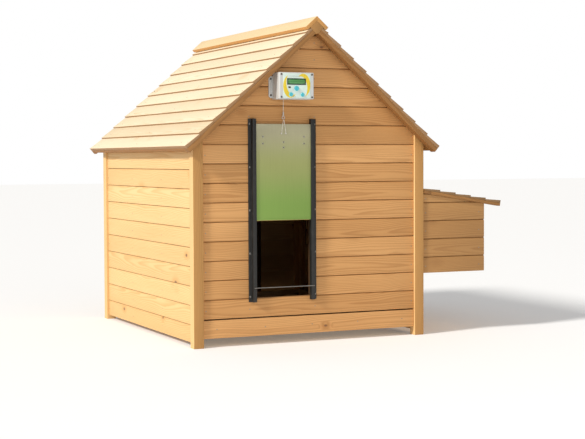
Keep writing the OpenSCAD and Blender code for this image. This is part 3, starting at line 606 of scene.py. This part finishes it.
# lapped roof and cap boards get painted shade on their lower ends, and their sawn ends are darkened
# fully as end grain and painted shade
timber("roof_left", ["roof_boards_left"], "coop", ROOF,
       slopes=(-ROOF_TURN,), warp=0.6, seed=19, down=lambda middle: DOWN_LEFT, ends=1.0)
timber("roof_right", ["roof_boards_right"], "coop", ROOF,
       slopes=(ROOF_TURN,), warp=0.6, seed=20, down=lambda middle: DOWN_RIGHT, ends=1.0)
timber("ridge_cap_boards", ["ridge_caps"], "coop", CAP,
       slopes=(ROOF_TURN, -ROOF_TURN), seed=21,
       down=lambda middle: DOWN_LEFT if middle.x < RIDGE_X else DOWN_RIGHT, ends=1.0)
timber("nest_walls", ["nest_end_boards", "nest_outer_boards"], "coop", NEST_WITH_PAINTED_SHADE,
       seed=22, core=NEST)
timber("nest_inside", ["nest_floor", "nest_dividers"], "coop", WALL, seed=23)
# the lid boards get painted shade on their lower ends
timber("lid_slats", ["lid_boards"], "nest_lid", LID, slopes=(LID_TURN,), seed=24,
       down=lambda middle: DOWN_LID)
timber("lid_frame", ["lid_battens"], "nest_lid", RAKE, slopes=(LID_TURN,), seed=25)
timber("tray_front_board", ["tray_front"], "tray", FRONT_WITH_PAINTED_SHADE, seed=26)
timber("tray_box", ["tray_pan"], "tray", PLY, bevel=0.5, seed=27)
timber("rear_door_wood", ["rear_door_boards"], "rear_door", WALL, seed=28,
       core=CABIN)
timber("rear_door_ledges", ["rear_door_battens"], "rear_door", FRAME_AND_POST_SHADE, seed=29)
timber("perch_poles", ["perches"], "coop", PERCH, bevel=0, seed=30)
timber("perch_blocks", ["perch_brackets"], "coop", FRAME_AND_POST_SHADE, bevel=0, seed=31)

# ---------------------------------------------------------------- metal, plastic and film

def build_wear_group():
    """Handling marks: cloudy dullness, fine lines along the piece and rubbed spots."""
    group, start, end = new_group("handling_wear", [
        ("Cloud Scale", "NodeSocketFloat", 60.0),
        ("Line Scale", "NodeSocketVector", (900.0, 900.0, 12.0)),
        ("Roughness", "NodeSocketFloat", 0.4),
        ("Roughness Spread", "NodeSocketFloat", 0.2),
        ("Rub", "NodeSocketFloat", 0.3)],
        [("Roughness", "NodeSocketFloat"), ("Lines", "NodeSocketFloat"),
         ("Rubbed", "NodeSocketFloat"), ("Grain", "NodeSocketFloat")])
    spot = add_node(group, "ShaderNodeTexCoord").outputs["Object"]
    cloud = add_node(group, "ShaderNodeTexNoise")
    link(group, spot, cloud.inputs["Vector"])
    link(group, start.outputs["Cloud Scale"], cloud.inputs["Scale"])
    cloud.inputs["Detail"].default_value = 4.0
    stretched = add_node(group, "ShaderNodeVectorMath", operation="MULTIPLY")
    link(group, spot, stretched.inputs[0])
    link(group, start.outputs["Line Scale"], stretched.inputs[1])
    lines = noise_node(group, stretched.outputs[0], 1.0, 2)
    link(group, lines, end.inputs["Lines"])
    patches = Value(group, cloud.outputs["Fac"])
    uneven = (patches - 0.5) * start.outputs["Roughness Spread"]
    link(group, (uneven + start.outputs["Roughness"]).clamped(), end.inputs["Roughness"])
    link(group, ramp(group, patches, 0.5, 0.75) * start.outputs["Rub"], end.inputs["Rubbed"])
    link(group, noise_node(group, spot, 1600.0, 2), end.inputs["Grain"])
    return group


WEAR = build_wear_group()


def worn_parts(name, colour, worn_colour, roughness, metallic=0.0, spread=0.2, rub=0.3,
               cloud=60.0, lines=(900.0, 900.0, 12.0), relief="Lines", depth=0.00004):
    """One finish with the shared wear in its colour, roughness and bump."""
    made, tree, shader = plain_material(name, colour, roughness, metallic)
    use = place_group(tree, WEAR, {
        "Cloud Scale": cloud, "Line Scale": lines, "Roughness": roughness,
        "Roughness Spread": spread, "Rub": rub})
    link(tree, mix_colour(tree, use.outputs["Rubbed"], (*colour, 1), (*worn_colour, 1)),
         shader.inputs["Base Color"])
    link(tree, use.outputs["Roughness"], shader.inputs["Roughness"])
    bump_from(tree, shader, use.outputs[relief], depth, 0.6)
    return made, tree, shader, use


def worn_material(*finish, **marks):
    return worn_parts(*finish, **marks)[0]


def object_axes(tree):
    """Where a point of the piece is, in metres."""
    return axes(tree, add_node(tree, "ShaderNodeTexCoord").outputs["Object"])


def height_ramp(tree, low, high):
    """0 to 1 up the piece, between two heights in metres."""
    return ramp(tree, object_axes(tree)[2], low, high)


RAIL = worn_material("black_rail", (0.012, 0.0115, 0.010), (0.035, 0.034, 0.032), 0.45, rub=0.5,
                     spread=0.25, lines=(700.0, 700.0, 6.0))
STEEL = worn_material("screw_steel", (0.58, 0.57, 0.55), (0.40, 0.38, 0.36), 0.32, 1.0)
DARK_STEEL = worn_material("dark_screw_steel", (0.16, 0.15, 0.14), (0.30, 0.29, 0.27), 0.4, 0.9)
NAIL = worn_material("nail_steel", (0.34, 0.30, 0.25), (0.20, 0.15, 0.10), 0.5, 0.8)
ROD = worn_material("tie_rod_steel", (0.30, 0.29, 0.27), (0.45, 0.44, 0.42), 0.38, 1.0,
                    lines=(20.0, 900.0, 900.0))
ZINC = worn_material("hinge_zinc", (0.62, 0.62, 0.60), (0.46, 0.47, 0.48), 0.38, 1.0, rub=0.6,
                     spread=0.35, cloud=110.0, lines=(160.0, 160.0, 160.0))
CASE = worn_material("case_plastic", (0.60, 0.61, 0.59), (0.53, 0.54, 0.53), 0.5, rub=0.25,
                     spread=0.1, relief="Grain", depth=0.00006)
DARK_PLASTIC = worn_material("dark_plastic", (0.02, 0.02, 0.022), (0.05, 0.05, 0.05), 0.45,
                             relief="Grain")
NYLON = worn_material("drum_nylon", (0.72, 0.70, 0.62), (0.60, 0.58, 0.50), 0.42,
                      relief="Grain")
MOTOR = worn_material("motor_metal", (0.55, 0.55, 0.54), (0.42, 0.42, 0.42), 0.35, 1.0)
BOARD = worn_material("board_green", (0.03, 0.19, 0.07), (0.02, 0.12, 0.05), 0.4,
                      lines=(420.0, 30.0, 420.0))
CORD = worn_material("cord_white", (0.74, 0.71, 0.64), (0.52, 0.49, 0.42), 0.8, rub=0.6,
                     cloud=300.0, lines=(3000.0, 3000.0, 900.0), depth=0.0001)


def make_panel_material():
    """Brushed aluminium sheet, green at the bottom and fading to grey-beige towards the top."""
    low, high = node_box("door_panel")
    tall = high.z - low.z
    made, tree, shader, use = worn_parts(
        "brushed_sheet", (0.40, 0.52, 0.14), (0.33, 0.42, 0.16), 0.34, 0.25, rub=0.35, spread=0.15,
        cloud=25.0, lines=(1400.0, 60.0, 9.0))
    lower = (0.23, 0.37, 0.08, 1)
    middle = (0.35, 0.375, 0.135, 1)
    upper = (0.43, 0.40, 0.26, 1)
    first = mix_colour(tree, height_ramp(tree, low.z + tall * 0.12, low.z + tall * 0.62),
                       lower, middle)
    tint = mix_colour(tree, height_ramp(tree, low.z + tall * 0.55, low.z + tall), first, upper)
    brushed = mix_colour(tree, 0.12, tint, use.outputs["Lines"], "OVERLAY")
    link(tree, brushed, shader.inputs["Base Color"])
    return made


def make_button_material():
    made, _, shader, _ = worn_parts(
        "button_teal", (0.07, 0.50, 0.58), (0.10, 0.42, 0.48), 0.3, rub=0.4, relief="Grain",
        depth=0.00003)
    shader.inputs["Coat Weight"].default_value = 0.4
    shader.inputs["Coat Roughness"].default_value = 0.15
    return made


PANEL = make_panel_material()
BUTTON = make_button_material()


# ---------------------------------------------------------------- label and display

CASE_BOX = node_box("case_lid")
CASE_X, CASE_Z = CASE_BOX[0].x, CASE_BOX[0].z           # corner that the face is laid out from


def face_coordinates(tree):
    """Millimetres across and up the control's face."""
    x, _, z = object_axes(tree)
    return (x - CASE_X) * 1000, (z - CASE_Z) * 1000


def inside_oval(tree, across, up, centre, radii, soft=0.05):
    """1 inside an oval on the face, 0 outside."""
    x, y = (across - centre[0]) / radii[0], (up - centre[1]) / radii[1]
    return 1.0 - ramp(tree, x * x + y * y, 1 - soft, 1 + soft)


def crescent(tree, across, up, outer, inner):
    """An oval with another one taken out of it."""
    return (inside_oval(tree, across, up, *outer)
            * (1.0 - inside_oval(tree, across, up, *inner)))


def make_label_material():
    """Pale mint film with two plain yellow crescents, a rule line and pale rings."""
    made, tree, shader, use = worn_parts("label_film", (0.66, 0.79, 0.72), (0.60, 0.72, 0.67),
                                         0.28, rub=0.3, relief="Grain", depth=0.00001)
    shader.inputs["Coat Weight"].default_value = 0.3
    shader.inputs["Coat Roughness"].default_value = 0.12
    across, up = face_coordinates(tree)
    left = crescent(tree, across, up, ((39, 42), (26, 38)), ((49.5, 53), (25, 39)))
    right = crescent(tree, across, up, ((86, 46), (26, 38)), ((75.5, 36), (25, 39)))
    warm = mix_colour(tree, ramp(tree, use.outputs["Lines"], 0.3, 0.7), (0.86, 0.68, 0.05, 1),
                      (0.74, 0.52, 0.02, 1))
    film = mix_colour(tree, use.outputs["Rubbed"], (0.66, 0.79, 0.72, 1), (0.60, 0.72, 0.67, 1))
    film = mix_colour(tree, left.maths("MAXIMUM", left, right), film, warm)
    for spot, radius in (((61.6, 35.1), 9.4), ((41.7, 15.2), 7.8), ((83.3, 14.5), 7.8)):
        film = mix_colour(tree, inside_oval(tree, across, up, spot, (radius, radius)), film,
                          (0.50, 0.82, 0.84, 1))
    rule = inside_oval(tree, across, up, (62, 75), (22, 0.8), 0.3) * 0.55
    film = mix_colour(tree, rule, film, (0.30, 0.42, 0.42, 1))
    link(tree, film, shader.inputs["Base Color"])
    return made


def make_window_material():
    """Green character display: a bright field with one row of dim cells."""
    made, tree, shader, _ = worn_parts("display_green", (0.07, 0.24, 0.07), (0.06, 0.20, 0.06),
                                       0.15, relief="Grain", depth=0.00001)
    shader.inputs["Coat Weight"].default_value = 0.6
    shader.inputs["Coat Roughness"].default_value = 0.05
    low, high = node_box("display_window")
    across, up = face_coordinates(tree)
    left, bottom = (low.x - CASE_X) * 1000, (low.z - CASE_Z) * 1000
    wide, tall = (high.x - low.x) * 1000, (high.z - low.z) * 1000
    cell = ((across - (left + 3)) / ((wide - 6) / 16)).fraction()
    in_cell = (cell > 0.16) * (cell < 0.84)
    in_row = (up > bottom + tall * 0.28) * (up < bottom + tall * 0.72)
    in_field = (across > left + 3) * (across < left + wide - 3)
    cells = in_cell * in_row * in_field
    edge = 1.0 - inside_oval(tree, across, up, (left + wide / 2, bottom + tall / 2),
                             (wide * 0.58, tall * 0.62), 0.4)
    field = mix_colour(tree, cells * 0.45, (0.09, 0.30, 0.085, 1),
                       (0.03, 0.13, 0.035, 1))
    link(tree, mix_colour(tree, edge, field, (0.03, 0.13, 0.04, 1)), shader.inputs["Base Color"])
    return made


LABEL = make_label_material()
WINDOW = make_window_material()
FRAME_DARK = worn_material("display_frame", (0.012, 0.05, 0.022), (0.03, 0.08, 0.04), 0.35,
                           relief="Grain")
SENSOR = worn_material("sensor_lens", (0.045, 0.022, 0.012), (0.07, 0.04, 0.02), 0.12,
                       relief="Grain", depth=0.00001)


# ---------------------------------------------------------------- hard pieces

def hard(name, node, body, material, bevel, outer=0.0):
    """A CAD node with its sharp edges eased; outer rounds the edges of the node's own box."""
    part = merged_copy(node)
    low, high = node_box(node)

    def sides(co):
        """The outer planes of the node that a corner lies on."""
        return {(i, k) for i in range(3) for k, edge in enumerate((low, high))
                if abs(co[i] - edge[i]) < 2e-5}

    def ease(edges, offset, segments, profile):
        bmesh.ops.bevel(part, geom=edges, offset=offset * MM, segments=segments,
                        profile=profile, affect="EDGES", clamp_overlap=True)

    if outer:
        ease([e for e in part.edges if len(sides(e.verts[0].co) & sides(e.verts[1].co)) == 2],
             outer, 4, 0.5)
    ease([e for e in part.edges if len(e.link_faces) == 2
          and e.calc_face_angle(0.0) > math.radians(38)
          and e.calc_length() > bevel * MM * 2], bevel, 2, 0.6)
    show(name, part, body, material, 32, [node])


hard("rails", "door_rails", "coop", RAIL, bevel=0.5)
hard("tie_rod", "rail_tie_rod", "coop", ROD, bevel=0.4)
hard("sheet_panel", "door_panel", "pop_door", PANEL, bevel=0.2)
hard("cord_ring", "cord_clip", "pop_door", STEEL, bevel=0.3)
hard("case_back", "case_base", "coop", CASE, bevel=0.3, outer=1.0)
hard("case_front", "case_lid", "coop", CASE, bevel=0.2, outer=2.4)
hard("face_film", "front_label", "coop", LABEL, bevel=0.08)
hard("display_rim", "display_frame", "coop", FRAME_DARK, bevel=0.25)
hard("display_glass", "display_window", "coop", WINDOW, bevel=0.15)
hard("sensor_eye", "light_sensor", "coop", SENSOR, bevel=0.35)
hard("switches", "button_switches", "coop", DARK_PLASTIC, bevel=0.3)
hard("electronics_board", "circuit_board", "coop", BOARD, bevel=0.1)
hard("cells", "battery_pack", "coop", DARK_PLASTIC, bevel=0.5)
hard("motor", "gearmotor", "coop", MOTOR, bevel=0.5)
hard("drum", "winch_drum", "winch", NYLON, bevel=0.25)
hard("drum_shaft", "winch_shaft", "winch", MOTOR, bevel=0.2)
hard("lid_hinges_house", "lid_hinge_wall", "coop", ZINC, bevel=0.25)
hard("lid_hinges_lid", "lid_hinge_lid", "nest_lid", ZINC, bevel=0.25)
hard("door_hinges_house", "rear_hinges_wall", "coop", ZINC, bevel=0.25)
hard("door_hinges_door", "rear_hinges_door", "rear_door", ZINC, bevel=0.25)
hard("bolt_guides", "bolt_body", "rear_door", ZINC, bevel=0.5)
hard("bolt_bar", "bolt_rod", "rear_bolt", ZINC, bevel=0.8)
hard("bolt_catch", "bolt_keeper", "coop", ZINC, bevel=0.5)


# ---------------------------------------------------------------- turned pieces and cords

def bridge(bm, rings):
    """Faces between each ring of corners and the next; a ring may be one corner repeated."""
    for ring, after in zip(rings, rings[1:]):
        for k in range(len(ring)):
            n = (k + 1) % len(ring)
            corners = list(dict.fromkeys((ring[k], ring[n], after[n], after[k])))
            if len(corners) > 2:
                bm.faces.new(corners)


def turned(bm, place, axis, outline, segments=48):
    """Turns (radius, height) points in millimetres round an axis."""
    side = axis.orthogonal().normalized()
    other = axis.cross(side)
    angles = [2 * math.pi * k / segments for k in range(segments)]
    rings = []
    for radius, height in outline:
        centre = place + axis * height * MM
        if radius == 0:
            rings.append([bm.verts.new(centre)] * segments)
        else:
            rings.append([bm.verts.new(centre + (side * math.cos(t) + other * math.sin(t))
                                       * radius * MM) for t in angles])
    bridge(bm, rings)


def swept(bm, points, radius, sides=12, twist=0.0, lobes=3, depth=0.0):
    """A tube along points whose section has lobes that twist, like laid cord."""
    rings = []
    normal = (points[1] - points[0]).normalized().orthogonal().normalized()
    travelled = 0.0
    for i, p in enumerate(points):
        ahead = (points[min(i + 1, len(points) - 1)] - points[max(i - 1, 0)]).normalized()
        normal = (normal - ahead * normal.dot(ahead)).normalized()
        other = ahead.cross(normal)
        if i:
            travelled += (p - points[i - 1]).length / MM
        ring = []
        for k in range(sides):
            t = 2 * math.pi * k / sides
            r = radius * (1 - depth * (0.5 - 0.5 * math.cos(lobes * (t - twist * travelled))))
            ring.append(bm.verts.new(p + (normal * math.cos(t) + other * math.sin(t)) * r * MM))
        rings.append(ring)
    bridge(bm, rings)
    bm.faces.new(rings[0][::-1])
    bm.faces.new(rings[-1])


def straight(a, b):
    """Points every half millimetre or so from a to b."""
    count = int((b - a).length / MM / 0.5)
    return [a.lerp(b, k / count) for k in range(count + 1)]


OUT = Vector((0, -1, 0))
for button in ("main_button", "left_button", "right_button"):
    low, high = node_box(button)
    collar = (high.x - low.x) / 2 / MM
    cap = collar - 1.2
    length = (high.y - low.y) / MM
    bm = bmesh.new()
    turned(bm, Vector(((low.x + high.x) / 2, high.y, (low.z + high.z) / 2)), OUT,
           [(0, 0), (collar - 0.2, 0), (collar, 0.2), (collar, 1.8), (collar - 0.2, 2.0),
            (cap, 2.0), (cap, length - 1.4), (cap - 0.15, length - 0.8), (cap - 0.6, length - 0.35),
            (cap - 1.3, length - 0.15), (cap - 2.0, length - 0.35), (cap - 2.8, length - 0.55),
            (cap * 0.4, length - 0.62), (0, length - 0.64)])
    show(button + "_cap", bm, button, BUTTON, 40, [button])

CORD_LOW, CORD_HIGH = node_box("lift_cord")
CORD_R = (CORD_HIGH.x - CORD_LOW.x) / 2 / MM
CORD_X, CORD_Y = (CORD_LOW.x + CORD_HIGH.x) / 2, (CORD_LOW.y + CORD_HIGH.y) / 2
bm = bmesh.new()
swept(bm, straight(Vector((CORD_X, CORD_Y, CORD_LOW.z)), Vector((CORD_X, CORD_Y, CORD_HIGH.z))),
      CORD_R, sides=18, twist=0.75, depth=0.28)
laid = scratch_object("laid_cord", bm)
laid.data.materials.append(CORD)
laid.data.polygons.foreach_set("use_smooth", [True] * len(laid.data.polygons))
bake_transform(laid)
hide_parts("lift_cord")


def knot(bm, centre, size, radius):
    """A small overhand knot pulled tight."""
    points = []
    for k in range(61):
        t = 2 * math.pi * k / 60
        points.append(centre + Vector((
            math.sin(t) + 2 * math.sin(2 * t), -math.sin(3 * t), math.cos(t) - 2 * math.cos(2 * t)))
            * (size / 3) * MM)
    swept(bm, points, radius, sides=10)


low, high = node_box("panel_cords")
front = low.y + 2.0 * MM
bm = bmesh.new()
for side in (-1, 1):
    foot = Vector((CORD_X + side * ((high.x - low.x) / 2 - 2 * MM), front, low.z + 2 * MM))
    hook = Vector((CORD_X + side * 1.2 * MM, front, high.z - 1.2 * MM))
    swept(bm, straight(foot, hook), CORD_R * 0.8, sides=14, twist=0.8, depth=0.25)
    knot(bm, foot, 1.25, 0.6)
show("sling", bm, "pop_door", CORD, 60, ["panel_cords"])

low, high = node_box("wound_cord")
middle = (low + high) / 2
reach = (high.x - low.x) / 2 - CORD_R * MM
width = (high.y - low.y) / 2 - CORD_R * MM
TURNS, STEPS = 4, 48                     # turns on the drum, and points in each
helix = []
for k in range(TURNS * STEPS + 1):
    t = 2 * math.pi * k / STEPS
    helix.append(middle + Vector((reach * math.cos(t), width * (2 * k / (TURNS * STEPS) - 1),
                                  reach * math.sin(t))))
bm = bmesh.new()
swept(bm, helix, CORD_R * 0.98, sides=12, twist=0.75, depth=0.2)
show("wound_turns", bm, "winch", CORD, 60, ["wound_cord"])


# ---------------------------------------------------------------- fasteners

def build_fastener_tree():
    """A head on each point, square to the surface and turned at random."""
    tree = bpy.data.node_groups.new("fasteners", "GeometryNodeTree")
    for label, kind in (("Points", "NodeSocketGeometry"), ("Head", "NodeSocketObject"),
                        ("Radius", "NodeSocketFloat"), ("Turn Seed", "NodeSocketInt"),
                        ("Finish", "NodeSocketMaterial")):
        tree.interface.new_socket(label, in_out="INPUT", socket_type=kind)
    tree.interface.new_socket("Fasteners", in_out="OUTPUT", socket_type="NodeSocketGeometry")
    start = tree.nodes.new("NodeGroupInput")
    end = tree.nodes.new("NodeGroupOutput")
    head = add_node(tree, "GeometryNodeObjectInfo")
    facing = add_node(tree, "GeometryNodeInputNamedAttribute", data_type="FLOAT_VECTOR")
    facing.inputs["Name"].default_value = "facing"
    square = add_node(tree, "FunctionNodeAlignRotationToVector", axis="Z")
    angle = add_node(tree, "FunctionNodeRandomValue", data_type="FLOAT")
    spin = add_node(tree, "FunctionNodeAxisAngleToRotation")
    turn = add_node(tree, "FunctionNodeRotateRotation", rotation_space="LOCAL")
    place = add_node(tree, "GeometryNodeInstanceOnPoints")
    real = add_node(tree, "GeometryNodeRealizeInstances")
    finish = add_node(tree, "GeometryNodeSetMaterial")
    link(tree, start.outputs["Head"], head.inputs["Object"])
    link(tree, facing.outputs[0], square.inputs["Vector"])
    link(tree, start.outputs["Turn Seed"], angle.inputs["Seed"])
    angle.inputs[3].default_value = 2 * math.pi
    link(tree, angle.outputs[1], spin.inputs["Angle"])
    link(tree, square.outputs[0], turn.inputs["Rotation"])
    link(tree, spin.outputs[0], turn.inputs["Rotate By"])
    link(tree, start.outputs["Points"], place.inputs["Points"])
    link(tree, head.outputs["Geometry"], place.inputs["Instance"])
    link(tree, turn.outputs[0], place.inputs["Rotation"])
    link(tree, start.outputs["Radius"], place.inputs["Scale"])
    link(tree, place.outputs[0], real.inputs[0])
    link(tree, real.outputs[0], finish.inputs["Geometry"])
    link(tree, start.outputs["Finish"], finish.inputs["Material"])
    link(tree, finish.outputs[0], end.inputs[0])
    return tree


FASTENERS = build_fastener_tree()
UP = Vector((0, 0, 1))
NAIL_R, SCREW_R, EYELET_R = 1.9 * MM, 3.4 * MM, 3.0 * MM


def nail_head():
    """A flat nail head of radius one, just proud of the wood."""
    bm = bmesh.new()
    turned(bm, Vector(), UP, [(0, -300), (1000, -300), (1000, 120), (820, 240), (0, 260)], 10)
    return scratch_object("nail_head", bm)


def screw_head(shank, shank_r=0.56):
    """A pan head of radius one with a cross recess, on a plain shank."""
    bm = bmesh.new()
    turned(bm, Vector(), UP, [(0, -shank * 1000), (shank_r * 1000, -shank * 1000 + 400),
                              (shank_r * 1000, 0), (1000, 0), (1000, 160), (900, 300), (720, 380)],
           20)
    rim = [e for e in bm.edges if e.is_boundary]
    arm, half, top = 0.5, 0.11, 0.40
    quarter = ((half, half), (half, arm), (-half, arm))
    corners = [c for x, y in ((1, 0), (0, 1), (-1, 0), (0, -1))
               for c in ((x * a - y * b, y * a + x * b) for a, b in quarter)]
    cross = [bm.verts.new((x, y, top)) for x, y in corners]
    edges = [bm.edges.new((a, b)) for a, b in zip(cross, cross[1:] + cross[:1])]
    bmesh.ops.triangle_fill(bm, use_beauty=True, edges=rim + edges)
    for face in [f for f in bm.faces if all(v in cross for v in f.verts)]:
        bm.faces.remove(face)
    floor = [bm.verts.new((x * 0.7, y * 0.7, 0.12)) for x, y in corners]
    for k in range(len(corners)):
        n = (k + 1) % len(corners)
        bm.faces.new((cross[k], cross[n], floor[n], floor[k]))
    bm.faces.new(floor)
    bmesh.ops.recalc_face_normals(bm, faces=bm.faces[:])
    return scratch_object("screw_head", bm)


def fasteners(name, places, head, radius, finish, body, seed, nodes=()):
    """Heads on (point, facing) places, made by the fastener tree into one plain mesh."""
    points = bpy.data.meshes.new(name)
    points.from_pydata([p for p, _ in places], [], [])
    facing = points.attributes.new("facing", "FLOAT_VECTOR", "POINT")
    facing.data.foreach_set("vector", [c for _, f in places for c in f])
    base = bpy.data.objects.new(name, points)
    bpy.context.scene.collection.objects.link(base)
    modifier = base.modifiers.new("fasteners", "NODES")
    modifier.node_group = FASTENERS
    sockets = {item.name: item.identifier for item in FASTENERS.interface.items_tree
               if item.in_out == "INPUT"}
    modifier[sockets["Head"]] = head
    modifier[sockets["Radius"]] = radius
    modifier[sockets["Turn Seed"]] = seed
    modifier[sockets["Finish"]] = finish
    bpy.context.view_layer.update()
    made = bpy.data.meshes.new_from_object(base.evaluated_get(
        bpy.context.evaluated_depsgraph_get()))
    bpy.data.objects.remove(base)
    bpy.data.meshes.remove(points)
    made.name = name
    made.materials.clear()
    show_mesh(name, made, body, finish, 35, nodes)


def board_points(node):
    """The corners of each board or screw of a node."""
    source = merged_copy(node)
    for group in islands(source):
        yield [v.co.copy() for f in group for v in f.verts]
    source.free()


def screws_of(node, name, finish):
    """Screws in place of a node's plain ones, one piece for each length of screw."""
    by_length = {}
    for points in board_points(node):
        low, high = extent(points)
        place = Vector(((low.x + high.x) / 2, low.y + 1.4 * MM, (low.z + high.z) / 2))
        by_length.setdefault(round((high.y - place.y) / MM, 1), []).append((place, OUT))
    for number, (length, places) in enumerate(sorted(by_length.items())):
        head = screw_head(length * MM / SCREW_R)
        fasteners("%s_%d" % (name, number + 1), places, head, SCREW_R, finish, "coop",
                  number + 3, [node])
        bpy.data.objects.remove(head)


screws_of("rail_screws", "rail_screw_set", ROD)
screws_of("case_screws", "case_screw_set", DARK_STEEL)


NARROW = 25 * MM            # boards cut down to less than this have no nails
EDGE = 6 * MM               # nails keep this far from a board's ends
NAIL_HEIGHT = 0.42          # share of a board's height


def nails_in(node, facing, lines, run):
    """Nail places where boards that run along x (0) or y (1) cross upright lines."""
    facing = Vector(facing)
    depth = 1 - run
    places = []
    for low, high in map(extent, board_points(node)):
        if high.z - low.z < NARROW:
            continue
        face = low[depth] if facing[depth] < 0 else high[depth]
        for line in lines:
            if low[run] + EDGE < line < high[run] - EDGE:
                spot = [0, 0, low.z + (high.z - low.z) * NAIL_HEIGHT]
                spot[run], spot[depth] = line, face
                places.append((Vector(spot), facing))
    return places


def middles(node, axis, keep=lambda low, high: True):
    """Middles of a node's sticks along one axis, where nails go in."""
    return sorted({round((low[axis] + high[axis]) / 2, 4)
                   for low, high in map(extent, board_points(node)) if keep(low, high)})


def in_front(low, high):
    return low.y < CABIN.y


def behind(low, high):
    return low.y > CABIN.y


def upright_in_front(low, high):
    """A front cleat that runs along the front wall, not one beside it."""
    return in_front(low, high) and high.x - low.x > 0.012 and high.y - low.y < 0.016


front_lines = middles("corner_cleats", 0, upright_in_front) + middles("door_studs", 0, in_front)
rear_lines = middles("corner_cleats", 0, behind) + middles("door_studs", 0, behind)
side_lines = middles("corner_cleats", 1) + middles("side_studs", 1)
ledge_lines = middles("rear_door_battens", 0)
nest_lines = middles("nest_battens", 0)
nest_rows = middles("nest_battens", 1) + middles("nest_dividers", 1)

head = nail_head()
nail_places = (nails_in("front_boards", (0, -1, 0), front_lines, 0)
               + nails_in("rear_boards", (0, 1, 0), rear_lines, 0)
               + nails_in("left_boards", (-1, 0, 0), side_lines, 1)
               + nails_in("right_boards", (1, 0, 0), side_lines, 1))
nest_low, nest_high = node_box("nest_end_boards")
for place, facing in nails_in("nest_end_boards", (0, -1, 0), nest_lines, 0):
    near_front = place.y < CABIN.y
    nail_places.append((Vector((place.x, nest_low.y if near_front else nest_high.y, place.z)),
                        Vector((0, -1 if near_front else 1, 0))))
nail_places += nails_in("nest_outer_boards", (1, 0, 0), nest_rows, 1)


def square_up(along):
    """The direction square to a slope that points up."""
    return Vector((-along.z, 0, along.x)) * math.copysign(1, along.x)


def nails_on_slope(node, down, lines):
    """Nail places 20 mm from the lower end of lapped boards, on the battens below them."""
    normal = square_up(down)
    places = []
    for points in board_points(node):
        middle = sum(points, Vector()) / len(points)
        ends = [down.dot(p - middle) for p in points]
        lower = [p for p, e in zip(points, ends) if e > max(ends) - 0.5 * MM]
        upper = [p for p, e in zip(points, ends) if e < min(ends) + 0.5 * MM]
        foot, top = max(lower, key=normal.dot), max(upper, key=normal.dot)
        spot = foot.lerp(top, 20 * MM / down.dot(foot - top))
        facing = square_up((foot - top).normalized())
        places += [(Vector((spot.x, line, spot.z)), facing) for line in lines]
    return places


roof_lines = middles("roof_battens", 1)
nail_places += nails_on_slope("roof_boards_left", DOWN_LEFT, roof_lines)
nail_places += nails_on_slope("roof_boards_right", DOWN_RIGHT, roof_lines)
fasteners("nails", nail_places, head, NAIL_R, NAIL, "coop", 5)
lid_lines = middles("lid_battens", 1, lambda low, high: high.y - low.y < 0.1)
fasteners("lid_nails", nails_on_slope("lid_boards", DOWN_LID, lid_lines), head, NAIL_R, NAIL,
          "nest_lid", 6)
fasteners("door_nails", nails_in("rear_door_boards", (0, 1, 0), ledge_lines, 0), head, NAIL_R,
          NAIL, "rear_door", 7)
tray_low, tray_high = node_box("tray_front")
tray_places = [(Vector((tray_low.x + (tray_high.x - tray_low.x) * share, tray_low.y,
                        (tray_low.z + tray_high.z) / 2)), OUT)
               for share in (0.06, 0.28, 0.5, 0.72, 0.94)]
fasteners("tray_nails", tray_places, head, NAIL_R, NAIL, "tray", 8)
bpy.data.objects.remove(head)


def eyelet_ring():
    """A rolled ring of outer radius one round a hole."""
    bm = bmesh.new()
    turned(bm, Vector(), UP,
           [(640, 0), (1000, 0), (940, 170), (820, 230), (700, 170), (640, 0)], 20)
    bmesh.ops.remove_doubles(bm, verts=bm.verts, dist=1e-5)
    return scratch_object("eyelet_ring", bm)


def panel_holes():
    """Middles of the round holes in the sliding panel's front face."""
    front = node_box("door_panel")[0].y + 2 * MM
    source = merged_copy("door_panel")
    short = [e for e in source.edges if e.calc_length() < 1.2 * MM
             and all(abs(v.co.y - front) < 0.2 * MM for v in e.verts)]
    middles_found = []
    for rim in clusters(short, lambda edge: [e for v in edge.verts for e in v.link_edges]):
        points = [v.co for e in rim for v in e.verts]
        if len(rim) > 7:
            middles_found.append(sum(points, Vector()) / len(points))
    source.free()
    return middles_found


eyelet = eyelet_ring()
fasteners("panel_eyelets", [(p, OUT) for p in panel_holes()], eyelet, EYELET_R, ZINC,
          "pop_door", 9)
bpy.data.objects.remove(eyelet)
